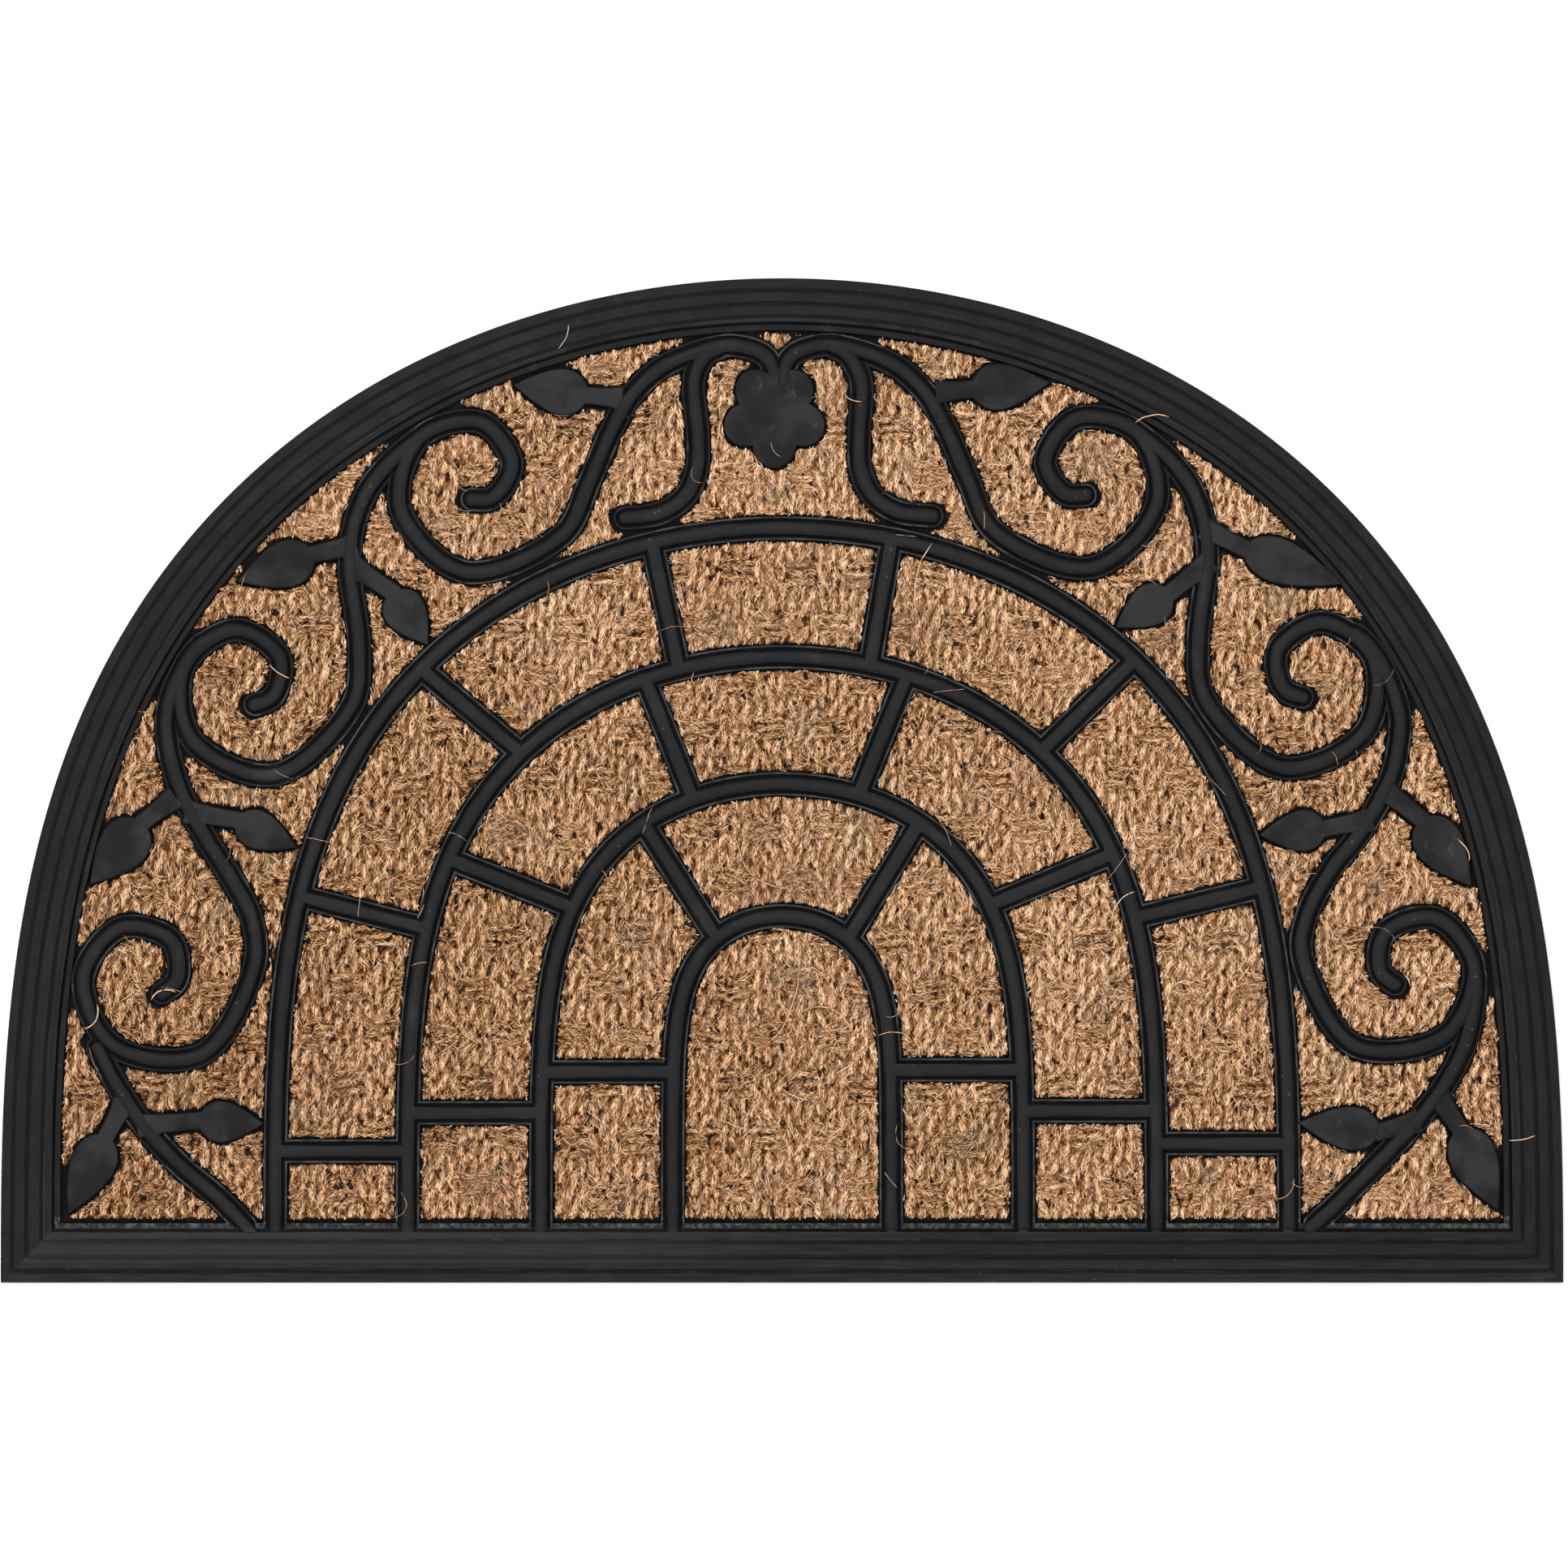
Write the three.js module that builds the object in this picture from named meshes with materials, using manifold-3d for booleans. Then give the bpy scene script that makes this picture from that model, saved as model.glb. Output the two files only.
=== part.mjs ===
// Half round doormat: a moulded rubber tray whose raised grille holds down one woven coir panel.
// Millimetres, +Z up. The origin is the middle of the flat underside, and the straight edge is towards -Y.
// The grille is a doorway of four nested arches with brick joints, and vines, leaves and a flower round it.
// The vines' scrolls are mirrored from left to right. Leaves and joints differ a little between the sides.
import * as THREE from 'three';
import { mergeVertices } from 'three/addons/utils/BufferGeometryUtils.js';
import Module from 'manifold-3d';

const wasm = await Module();
wasm.setup();

// Overall size of the mat
const matWidth = 700;
const matDepth = 450;
const frontEdge = -matDepth / 2;

// Heights above the floor
const trayFloor = 2.0;
const flangeUnderside = 5.3;
const flangeTop = 8.0;
const coirTop = 8.6;
const leafTop = 9.2;
const beadTop = 10.0;

// Clearance between the coir and the rubber
const gap = 0.3;

// The border steps up inwards. Each line is set in from the sides, the straight front and the crown.
const borderSteps = [
  { side: 0, front: 0, crown: 0, squareness: 2.86, top: 3.5 },
  { side: 4.3, front: 4.3, crown: 4.4, squareness: 2.84, top: 5.5 },
  { side: 10.8, front: 10.6, crown: 10.5, squareness: 2.81, top: 7.5 },
  { side: 17.8, front: 17.6, crown: 16.5, squareness: 2.77, top: 9.4 },
];
const innerWall = { side: 24.4, front: 24.2, crown: 20.9, squareness: 2.73 };
const rimFlange = { side: 27.6, front: 28.2, crown: 23.6, squareness: 2.71 };

// Ribs: a round-topped bead on a wider flange that grips the coir
const flangeWidth = 10.6;
const beadWidth = 6.4;

// Nested arches, by half width and height of the rib's middle line above the arches' foot
const archFoot = frontEdge + innerWall.front;
const arches = [
  { halfWidth: 226.7, height: 313.7, squareness: 3.15 },
  { halfWidth: 167.5, height: 256.1, squareness: 3.6 },
  { halfWidth: 107.9, height: 199.3, squareness: 4.27 },
  { halfWidth: 48.9, height: 140.2, squareness: 6.0 },
];

// Brick joints, from near the arch outside to near the arch inside. Each runs straight on to meet both,
// lengthened by the joint reach at most.
const jointReach = 12;
const jointReachStep = 0.25;
const brickJoints = [
  { outer: [-223, -165.8], inner: [-166, -165.8] },
  { outer: [-215.6, -51.8], inner: [-168.4, -63.8] },
  { outer: [-158.2, 47.1], inner: [-120.1, 15.1] },
  { outer: [-58.3, 106.7], inner: [-47.4, 55.8] },
  { outer: [48.9, 107.0], inner: [40.1, 56.0] },
  { outer: [154.6, 50.8], inner: [119.7, 16.6] },
  { outer: [213.9, -48.0], inner: [163.3, -60.2] },
  { outer: [223, -162.4], inner: [166, -162.4] },
  { outer: [-165, -148.7], inner: [-107, -148.7] },
  { outer: [-146.2, -36.1], inner: [-99.4, -54.6] },
  { outer: [-60.5, 43.5], inner: [-41.2, -4.8] },
  { outer: [54.8, 44.2], inner: [35.4, -3.7] },
  { outer: [143.7, -34.6], inner: [99.0, -53.2] },
  { outer: [165, -147.8], inner: [107, -147.8] },
  { outer: [-106, -130.4], inner: [-49, -130.4] },
  { outer: [-61.2, -20.5], inner: [-32.9, -64.8] },
  { outer: [59.9, -21.2], inner: [32.6, -65.9] },
  { outer: [106, -129.5], inner: [49, -129.5] },
];

// The vines are mirrored about a line slightly left of the mat's middle, and the right ones climb outwards
const vineAxis = -1.5;
const rightClimb = 0.014;

// Every vine winds into the same scroll, here by its radius about the eye at each step round.
// A row serves the left, the right or both sides, and is given as it lies, or would lie, on the left.
const scrollStep = 62;
const scrollRadii = [48.3, 42.4, 34.6, 28.9, 24.9, 19.2, 13.2, 10.2];
const vines = [
  {
    stem: [
      [-3.4, 176], [-4.2, 184], [-8.2, 190.4], [-22, 194.6], [-36, 192.2],
      [-54, 184.6], [-67.5, 172], [-77, 155], [-86, 134],
    ],
    eye: [-139, 135.6],
    startAngle: -32,
    sides: ['left', 'right'],
  },
  {
    stem: [
      [-154.6, 158.6], [-162.8, 152.8], [-169.8, 147.2], [-176.6, 140.9], [-185.5, 129.3],
      [-191.7, 112.9], [-193.5, 95.4], [-191, 77], [-189.1, 58],
    ],
    eye: [-239.6, 43.0],
    startAngle: -11,
    sides: ['left', 'right'],
  },
  {
    stem: [
      [-256.9, 63.6], [-263.5, 56.7], [-268.8, 48.3], [-272.9, 39.2], [-275.3, 28.6], [-274.2, 13.6], [-268, -7],
      [-257.5, -26], [-246, -44.1], [-237.5, -61],
    ],
    eye: [-283.6, -87.6],
    startAngle: 7,
    sides: ['left'],
  },
  {
    stem: [
      [-256.9, 63.6], [-263.9, 58.2], [-269.5, 51], [-273.8, 42.6], [-277.4, 33.4], [-279.4, 24], [-279.1, 14.8],
      [-275.5, -1.8],
      [-262.5, -25.7], [-248.5, -43.5], [-238, -63],
    ],
    eye: [-283.6, -87.6],
    startAngle: 7,
    sides: ['right'],
  },
];

// Plain ribs of the vines, which don't end in a scroll
const branches = [
  [
    [-25.5, 194.2], [-33, 191.2], [-37.7, 185], [-39.6, 177],
    [-37.5, 153.6], [-38.1, 139], [-43, 127.5], [-54, 119.8], [-73.2, 117],
  ],
  [
    [20.5, 194.8], [28, 191.4], [33, 185], [35.6, 177],
    [34.5, 154.1], [35.1, 139.5], [40, 128.1], [51, 120.5], [70.2, 118],
  ],
  [[-307.5, -116.9], [-298.1, -135.3], [-285, -155], [-269, -172.3], [-252, -186.7], [-237.8, -201.5]],
  [[308.5, -112], [299.9, -130], [286.4, -149.5], [267.3, -170], [247.5, -190], [236, -200.5]],
];

// Leaves: where the stalk leaves the vine, where the blade starts, its tip and its greatest half width
const stalkWidth = 8.2;
const stalkOverlap = 4;
const bladeFullness = 0.65;
const bladeRoundness = 0.9;
const leaves = [
  { stalk: [-74.3, 171.1], base: [-86.0, 172.1], tip: [-120.1, 176.9], halfWidth: 10.6 },
  { stalk: [-193.2, 104.9], base: [-208.9, 101.4], tip: [-243.5, 89.0], halfWidth: 10.8 },
  { stalk: [-190.7, 95.2], base: [-175.0, 84.7], tip: [-158.2, 60.5], halfWidth: 9.8 },
  { stalk: [-273.6, -9.1], base: [-285.3, -18.2], tip: [-309.4, -46.4], halfWidth: 11.4 },
  { stalk: [-263.8, -14.4], base: [-244.7, -17.5], tip: [-216.9, -30.0], halfWidth: 8.9 },
  { stalk: [-295.4, -146.4], base: [-301.7, -158.2], tip: [-319.3, -194.0], halfWidth: 10.4 },
  { stalk: [-285.2, -154.2], base: [-261.5, -152.2], tip: [-231.8, -153.5], halfWidth: 9.5 },
  { stalk: [71.8, 173.9], base: [83.8, 175.0], tip: [119.6, 177.9], halfWidth: 10.6 },
  { stalk: [190.8, 111.8], base: [206.0, 104.2], tip: [250.6, 87.8], halfWidth: 10.2 },
  { stalk: [189.5, 96.5], base: [174.2, 84.4], tip: [149.2, 68.4], halfWidth: 9.6 },
  { stalk: [270.3, -4.8], base: [285.4, -16.8], tip: [308.2, -47.3], halfWidth: 11.0 },
  { stalk: [261.4, -17.9], base: [243.9, -21.2], tip: [213.4, -24.5], halfWidth: 9.5 },
  { stalk: [294.2, -142.2], base: [302.8, -155.2], tip: [320.3, -192.3], halfWidth: 10.8 },
  { stalk: [282.1, -153.1], base: [267.9, -157.0], tip: [230.9, -153.1], halfWidth: 10.0 },
];

// The flower has five rounded petals, the lowest one pointing to the front
const flower = { centre: [-3.4, 163.2], petalRadius: 23.6, notchRadius: 16.8, petals: 5, roundness: 0.9 };

// How far the chord of a drawn line may stray from the true curve
const borderTolerance = 0.2;
const archTolerance = 0.25;
const vineTolerance = 0.3;

// How finely curves are sampled before their chords are drawn
const halfArchSamples = 400;
const samplesPerKnot = 24;
const bladeSteps = 7;
const petalSteps = 8;

// Corners nearer than this are one corner, and a sharp bend's mitre is no longer than its limit allows
const weldDistance = 1e-4;
const mitreLimit = 2;

// Plan curves

function distanceToChord(point, start, end) {
  const chord = end.clone().sub(start);
  const offset = point.clone().sub(start);
  return Math.abs(chord.cross(offset)) / chord.length();
}

// Draws a smooth line with the longest chords that stay within the tolerance
function thin(points, tolerance) {
  const kept = [points[0]];
  let start = 0;
  while (start < points.length - 1) {
    let end = start + 1;
    while (end + 1 < points.length && chordFits(points, start, end + 1, tolerance)) end += 1;
    kept.push(points[end]);
    start = end;
  }
  return kept;
}

function chordFits(points, start, end, tolerance) {
  const between = points.slice(start + 1, end);
  return between.every((point) => distanceToChord(point, points[start], points[end]) <= tolerance);
}

// A flattened arch standing on its foot line, from the left foot over the crown to the right foot
function halfRound({ halfWidth, height, squareness }, foot, tolerance) {
  const left = [];
  for (let step = 0; step <= halfArchSamples; step += 1) {
    const angle = (Math.PI / 2) * (step / halfArchSamples);
    const rise = height * Math.sin(angle) ** (2 / squareness);
    left.push(new THREE.Vector2(-halfWidth * Math.cos(angle), foot + rise));
  }
  const half = thin(left, tolerance);
  return [...half, ...mirrored(half.slice(0, -1), 0)];
}

function borderLine({ side, front, crown, squareness }, grow = 0) {
  const line = {
    halfWidth: matWidth / 2 - side - grow,
    height: matDepth - front - crown - 2 * grow,
    squareness,
  };
  return halfRound(line, frontEdge + front + grow, borderTolerance);
}

function smoothLine(knots) {
  const places = knots.map(([x, y]) => new THREE.Vector3(x, y, 0));
  const curve = new THREE.CatmullRomCurve3(places, false, 'centripetal');
  const line = curve.getPoints(knots.length * samplesPerKnot);
  return thin(line.map((place) => new THREE.Vector2(place.x, place.y)), vineTolerance);
}

function scrollLine({ stem, eye, startAngle }) {
  const winding = scrollRadii.map((radius, step) => {
    const angle = THREE.MathUtils.degToRad(startAngle - scrollStep * step);
    return [eye[0] + radius * Math.cos(angle), eye[1] + radius * Math.sin(angle)];
  });
  return smoothLine([...stem, ...winding]);
}

// Outlines of the raised work

// Moves each point of a line sideways along the bisector of its two neighbouring stretches
function sideLine(points, offset) {
  return points.map((point, index) => {
    const previous = points[Math.max(index - 1, 0)];
    const next = points[Math.min(index + 1, points.length - 1)];
    const into = point.clone().sub(previous);
    const out = next.clone().sub(point);
    if (index === 0) into.copy(out);
    if (index === points.length - 1) out.copy(into);
    const along = into.normalize().add(out.normalize()).normalize();
    const mitre = Math.min(1 / along.dot(out), mitreLimit);
    return new THREE.Vector2(-along.y, along.x).multiplyScalar(offset * mitre).add(point);
  });
}

// Lengthens a line straight on at both ends
function lengthened(points, amount) {
  const first = points[0].clone().sub(points[1]).setLength(amount).add(points[0]);
  const final = points[points.length - 1];
  const last = final.clone().sub(points[points.length - 2]).setLength(amount).add(final);
  return [first, ...points.slice(1, -1), last];
}

function ribbon(points, width, overrun = 0) {
  const line = overrun === 0 ? points : lengthened(points, overrun);
  return [...sideLine(line, width / 2), ...sideLine(line, -width / 2).reverse()];
}

// A blade is widest a third of the way along, and comes to a point at its tip
function bladeOutline({ base, tip, halfWidth }, grow) {
  const start = new THREE.Vector2(...base);
  const end = new THREE.Vector2(...tip);
  const along = end.clone().sub(start);
  const across = new THREE.Vector2(-along.y, along.x).normalize();
  const near = [];
  const far = [];
  for (let step = 0; step <= bladeSteps; step += 1) {
    const share = step / bladeSteps;
    const middle = start.clone().addScaledVector(along, share);
    const half = halfWidth * Math.sin(Math.PI * share ** bladeFullness) ** bladeRoundness + grow;
    near.push(middle.clone().addScaledVector(across, half));
    far.push(middle.clone().addScaledVector(across, -half));
  }
  return [...near, ...far.reverse()];
}

function flowerOutline(grow) {
  const { centre, petalRadius, notchRadius, petals, roundness } = flower;
  const steps = petals * petalSteps;
  const points = [];
  for (let step = 0; step < steps; step += 1) {
    const angle = (2 * Math.PI * step) / steps;
    const lobe = Math.abs(Math.cos((petals * angle) / 2)) ** roundness;
    const radius = notchRadius + (petalRadius - notchRadius) * lobe + grow;
    const spoke = new THREE.Vector2(radius, 0).rotateAround(new THREE.Vector2(), angle - Math.PI / 2);
    points.push(spoke.add(new THREE.Vector2(...centre)));
  }
  return points;
}

// Solids

function toSolid(geometry) {
  geometry.deleteAttribute('normal');
  geometry.deleteAttribute('uv');
  const welded = mergeVertices(geometry, weldDistance);
  const mesh = new wasm.Mesh({
    numProp: 3,
    vertProperties: new Float32Array(welded.attributes.position.array),
    triVerts: new Uint32Array(welded.index.array),
  });
  return new wasm.Manifold(mesh);
}

function slab(outline, bottom, top) {
  const shape = new THREE.Shape(outline);
  const geometry = new THREE.ExtrudeGeometry(shape, { depth: top - bottom, bevelEnabled: false });
  return toSolid(geometry.translate(0, 0, bottom));
}

function joined(solids) {
  return solids.reduce((whole, solid) => whole.add(solid));
}

function mirrored(points, axis, climb = 0) {
  return points.map((point) => {
    const away = axis - point.x;
    return new THREE.Vector2(axis + away, point.y + climb * away);
  }).reverse();
}

function archLines() {
  return arches.map((arch) => halfRound(arch, archFoot, archTolerance));
}

// Zero on the middle of an arch's rib, and further from zero away from it
function archLevel({ halfWidth, height, squareness }, point) {
  return Math.abs((point.x / halfWidth) ** 2 + ((point.y - archFoot) / height) ** squareness - 1);
}

// The place where a straight line from start through end meets the middle of an arch's rib, near its end
function meetingPlace(start, end) {
  const way = end.clone().sub(start).normalize();
  const levelAt = (place) => Math.min(...arches.map((arch) => archLevel(arch, place)));
  let best = end;
  for (let shift = -jointReach / 3; shift <= jointReach; shift += jointReachStep) {
    const place = end.clone().addScaledVector(way, shift);
    if (levelAt(place) < levelAt(best)) best = place;
  }
  return best;
}

function jointLines() {
  return brickJoints.map(({ outer, inner }) => {
    const start = new THREE.Vector2(...outer);
    const end = new THREE.Vector2(...inner);
    return [meetingPlace(end, start), meetingPlace(start, end)];
  });
}

function vineLines() {
  const scrolls = vines.flatMap((vine) => {
    const line = scrollLine(vine);
    return vine.sides.map((side) => (side === 'left' ? line : mirrored(line, vineAxis, rightClimb)));
  });
  return [...scrolls, ...branches.map(smoothLine)];
}

function ribOutlines(width, overrun) {
  const archRibs = archLines().map((line) => ribbon(line, width, gap));
  const jointRibs = jointLines().map((line) => ribbon(line, width));
  const vineRibs = vineLines().map((line) => ribbon(line, width, overrun));
  return [...archRibs, ...jointRibs, ...vineRibs];
}

function padOutlines(grow) {
  const outlines = leaves.flatMap((leaf) => {
    const stalk = [new THREE.Vector2(...leaf.stalk), new THREE.Vector2(...leaf.base)];
    return [ribbon(lengthened(stalk, stalkOverlap), stalkWidth + 2 * grow), bladeOutline(leaf, grow)];
  });
  return [...outlines, flowerOutline(grow)];
}

function slabs(outlines, bottom, top) {
  return joined(outlines.map((outline) => slab(outline, bottom, top)));
}

function border() {
  const steps = borderSteps.map((step) => slab(borderLine(step), 0, step.top));
  return joined(steps).subtract(slab(borderLine(innerWall), trayFloor, beadTop));
}

// The grille's ribs, leaves and flower, cut off where they meet the border's inner wall
function grille() {
  const endFlange = (flangeWidth - beadWidth) / 2;
  const flanges = slabs(ribOutlines(flangeWidth, endFlange), flangeUnderside, flangeTop);
  const beads = slabs(ribOutlines(beadWidth, 0), flangeUnderside + gap, beadTop);
  const pads = slabs(padOutlines(0), flangeUnderside, leafTop);
  const inside = slab(borderLine(innerWall), 0, beadTop);
  const opening = slab(borderLine(rimFlange), 0, beadTop);
  const rim = slab(borderLine(innerWall), flangeUnderside, flangeTop).subtract(opening);
  return joined([flanges, beads, pads]).intersect(inside).add(rim);
}

function coirPanel() {
  const pressedTop = flangeUnderside - gap;
  const endFlange = (flangeWidth - beadWidth) / 2 + gap;
  const cover = [...ribOutlines(flangeWidth + 2 * gap, endFlange), ...padOutlines(gap)];
  const pressed = slab(borderLine(innerWall, gap), trayFloor + gap, pressedTop);
  const raised = slab(borderLine(rimFlange, gap), trayFloor + gap, coirTop);
  return raised.subtract(slabs(cover, pressedTop, beadTop)).add(pressed);
}

// Meshes

function toGeometry(solid) {
  const { vertProperties, triVerts } = solid.getMesh();
  const geometry = new THREE.BufferGeometry();
  geometry.setAttribute('position', new THREE.BufferAttribute(vertProperties, 3));
  geometry.setIndex(new THREE.BufferAttribute(triVerts, 1));
  geometry.computeVertexNormals();
  return geometry;
}

function piece(name, solid, material) {
  const mesh = new THREE.Mesh(toGeometry(solid), material);
  mesh.name = name;
  return mesh;
}

const rubber = new THREE.MeshStandardMaterial({ color: 0x2b2b2c, roughness: 0.6, metalness: 0 });
const coir = new THREE.MeshStandardMaterial({ color: 0xb98d60, roughness: 0.95, metalness: 0 });

const group = new THREE.Group();
group.add(piece('rubber_moulding', border().add(grille()), rubber));
group.add(piece('coir_panel', coirPanel(), coir));

export default group;
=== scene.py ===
"""Half round doormat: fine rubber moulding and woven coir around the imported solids.

Lengths are in millimetres until a mesh is made.
"""
import math

import bpy
import numpy as np
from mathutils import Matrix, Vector


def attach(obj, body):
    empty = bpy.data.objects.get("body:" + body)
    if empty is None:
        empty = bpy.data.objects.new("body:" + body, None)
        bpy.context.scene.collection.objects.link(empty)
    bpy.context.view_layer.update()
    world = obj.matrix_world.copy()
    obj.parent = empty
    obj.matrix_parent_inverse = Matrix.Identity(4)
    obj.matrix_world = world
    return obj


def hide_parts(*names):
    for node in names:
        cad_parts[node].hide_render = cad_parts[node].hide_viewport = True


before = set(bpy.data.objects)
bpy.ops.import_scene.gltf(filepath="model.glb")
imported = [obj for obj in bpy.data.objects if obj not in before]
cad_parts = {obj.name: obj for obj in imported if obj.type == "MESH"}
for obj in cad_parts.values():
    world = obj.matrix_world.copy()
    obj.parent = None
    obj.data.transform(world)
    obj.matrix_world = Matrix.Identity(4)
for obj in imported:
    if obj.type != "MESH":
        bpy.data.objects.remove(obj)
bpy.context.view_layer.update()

MM = 0.001

# The mat's outline and the set-in lines of its border
MAT_WIDTH, MAT_DEPTH = 700.0, 450.0
FRONT = -MAT_DEPTH / 2
# inset from the sides, the front and the crown, squareness of the arch, height of the step inside it
BORDER = [
    (0.0, 0.0, 0.0, 2.86, 3.5),
    (4.3, 4.3, 4.4, 2.84, 5.5),
    (10.8, 10.6, 10.5, 2.81, 7.5),
    (17.8, 17.6, 16.5, 2.77, 9.4),
    (24.4, 24.2, 20.9, 2.73, 2.0),
]
RIM = (27.6, 28.2, 23.6, 2.71)
TRAY_FLOOR = 2.0
# Width of the rim beside the border, and along the front
RIM_WIDTH, FRONT_RIM_WIDTH = 2.7, 3.9
# Heights of a flange's underside, of the groove in it and of the lips beside that
FLANGE_UNDER, GROOVE, LIP_TOP = 5.3, 6.0, 8.1
PAD_FOOT, PAD_TOP = 5.5, 9.2
ABOVE_ALL = 12.0
FLANGE_WIDTH, GROOVE_WIDTH, BEAD_WIDTH = 10.4, 8.8, 6.4
# Plan width of the slope of the mat's edge, and of each further step
EDGE_RISER, RISER = 0.35, 2.1
OUTLINE_STEP = 3.4

ARCH_FOOT = FRONT + 24.2
ARCHES = [  # half width, height, squareness
    (226.7, 313.7, 3.15),
    (167.5, 256.1, 3.6),
    (107.9, 199.3, 4.27),
    (48.9, 140.2, 6.0),
]
JOINTS = [  # from the outer arch to the inner one
    ((-223, -165.8), (-166, -165.8)),
    ((-215.6, -51.8), (-168.4, -63.8)),
    ((-158.2, 47.1), (-120.1, 15.1)),
    ((-58.3, 106.7), (-47.4, 55.8)),
    ((48.9, 107.0), (40.1, 56.0)),
    ((154.6, 50.8), (119.7, 16.6)),
    ((213.9, -48.0), (163.3, -60.2)),
    ((223, -162.4), (166, -162.4)),
    ((-165, -148.7), (-107, -148.7)),
    ((-146.2, -36.1), (-99.4, -54.6)),
    ((-60.5, 43.5), (-41.2, -4.8)),
    ((54.8, 44.2), (35.4, -3.7)),
    ((143.7, -34.6), (99.0, -53.2)),
    ((165, -147.8), (107, -147.8)),
    ((-106, -130.4), (-49, -130.4)),
    ((-61.2, -20.5), (-32.9, -64.8)),
    ((59.9, -21.2), (32.6, -65.9)),
    ((106, -129.5), (49, -129.5)),
]
VINE_AXIS, RIGHT_CLIMB = -1.5, 0.014
SCROLL_STEP = 62
SCROLL_RADII = [48.3, 42.4, 34.6, 28.9, 24.9, 19.2, 13.2, 10.2]
VINES = [  # stem's knots, scroll's eye, its first angle, the sides it serves
    (
        [(-3.4, 176), (-4.2, 184), (-8.2, 190.4), (-22, 194.6), (-36, 192.2)]
        + [(-54, 184.6), (-67.5, 172), (-77, 155), (-86, 134)],
        (-139, 135.6), -32, "LR",
    ),
    (
        [(-154.6, 158.6), (-162.8, 152.8), (-169.8, 147.2), (-176.6, 140.9), (-185.5, 129.3)]
        + [(-191.7, 112.9), (-193.5, 95.4), (-191, 77), (-189.1, 58)],
        (-239.6, 43.0), -11, "LR",
    ),
    (
        [(-256.9, 63.6), (-263.5, 56.7), (-268.8, 48.3), (-272.9, 39.2), (-275.3, 28.6)]
        + [(-274.2, 13.6), (-268, -7), (-257.5, -26), (-246, -44.1), (-237.5, -61)],
        (-283.6, -87.6), 7, "L",
    ),
    (
        [(-256.9, 63.6), (-263.9, 58.2), (-269.5, 51), (-273.8, 42.6), (-277.4, 33.4), (-279.4, 24)]
        + [(-279.1, 14.8), (-275.5, -1.8), (-262.5, -25.7), (-248.5, -43.5), (-238, -63)],
        (-283.6, -87.6), 7, "R",
    ),
]
BRANCHES = [
    [(-25.5, 194.2), (-33, 191.2), (-37.7, 185), (-39.6, 177)]
    + [(-37.5, 153.6), (-38.1, 139), (-43, 127.5), (-54, 119.8), (-73.2, 117)],
    [(20.5, 194.8), (28, 191.4), (33, 185), (35.6, 177)]
    + [(34.5, 154.1), (35.1, 139.5), (40, 128.1), (51, 120.5), (70.2, 118)],
    [(-307.5, -116.9), (-298.1, -135.3), (-285, -155), (-269, -172.3), (-252, -186.7), (-237.8, -201.5)],
    [(310.1, -84), (310.2, -94), (309, -104), (305.9, -117)]
    + [(299.4, -131), (286.4, -149.5), (267.3, -170), (247.5, -190), (236, -200.5)],
]
STALK_WIDTH = 8.2
LEAVES = [  # where the stalk leaves the vine, where the blade starts, its tip, its greatest half width
    ((-74.3, 171.1), (-86.0, 172.1), (-120.1, 176.9), 10.6),
    ((-193.2, 104.9), (-208.9, 101.4), (-243.5, 89.0), 10.8),
    ((-190.7, 95.2), (-175.0, 84.7), (-158.2, 60.5), 9.8),
    ((-273.6, -9.1), (-285.3, -18.2), (-309.4, -46.4), 11.4),
    ((-263.8, -14.4), (-244.7, -17.5), (-216.9, -30.0), 8.9),
    ((-295.4, -146.4), (-301.7, -158.2), (-319.3, -194.0), 10.4),
    ((-285.2, -154.2), (-261.5, -152.2), (-231.8, -153.5), 9.5),
    ((71.8, 173.9), (83.8, 175.0), (119.6, 177.9), 10.6),
    ((190.8, 111.8), (206.0, 104.2), (250.6, 87.8), 10.2),
    ((189.5, 96.5), (174.2, 84.4), (149.2, 68.4), 9.6),
    ((270.3, -4.8), (285.4, -16.8), (308.2, -47.3), 11.0),
    ((261.4, -17.9), (243.9, -21.2), (213.4, -24.5), 9.5),
    ((294.2, -142.2), (302.8, -155.2), (320.3, -192.3), 10.8),
    ((282.1, -153.1), (267.9, -157.0), (230.9, -153.1), 10.0),
]
FLOWER_CENTRE, PETAL_RADIUS, NOTCH_RADIUS, PETALS = (-3.4, 163.2), 23.6, 16.8, 5

# The weave: short blocks of weft cross each column of warp yarns, half a repeat lower in the next
COLUMN = 14.5
REPEAT = 46.0
WARP_YARNS = 3
WEFT_BLOCK = 12.6
WEFT_YARNS = 3
PANEL_UNDER, PRESSED, COIR_TOP = 2.3, 4.9, 9.0
# Two-ply yarn: length of a full turn, distance of a ply from the yarn's middle, radius of a ply
WARP = (22.0, 1.1, 1.6)
WEFT = (26.0, 0.6, 1.45)


# Plan lines

# Distance between the points that ribs are worked out from, and how far a rib may lie off them
RIB_STEP, RIB_TOLERANCE = 0.7, 0.03


def along(points):
    """Distance along a line at each of its points."""
    return np.concatenate([[0], np.cumsum(np.linalg.norm(np.diff(points, axis=0), axis=1))])


def at(line, places):
    """Points of a line at distances along it."""
    reach = along(line)
    return np.stack([np.interp(places, reach, line[:, k]) for k in (0, 1)], axis=1)


def resampled(line, step):
    """The same line with even steps of about that length."""
    length = along(line)[-1]
    return at(line, np.linspace(0, length, max(2, int(round(length / step)) + 1)))


def refined(line, steps, margin):
    """The line with other points near its ends, at given steps from them, and how far along all lie."""
    reach = along(line)
    inner = reach[(reach > margin) & (reach < reach[-1] - margin)]
    places = np.concatenate([steps, inner, reach[-1] - steps[::-1]])
    return at(line, places), places


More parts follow.
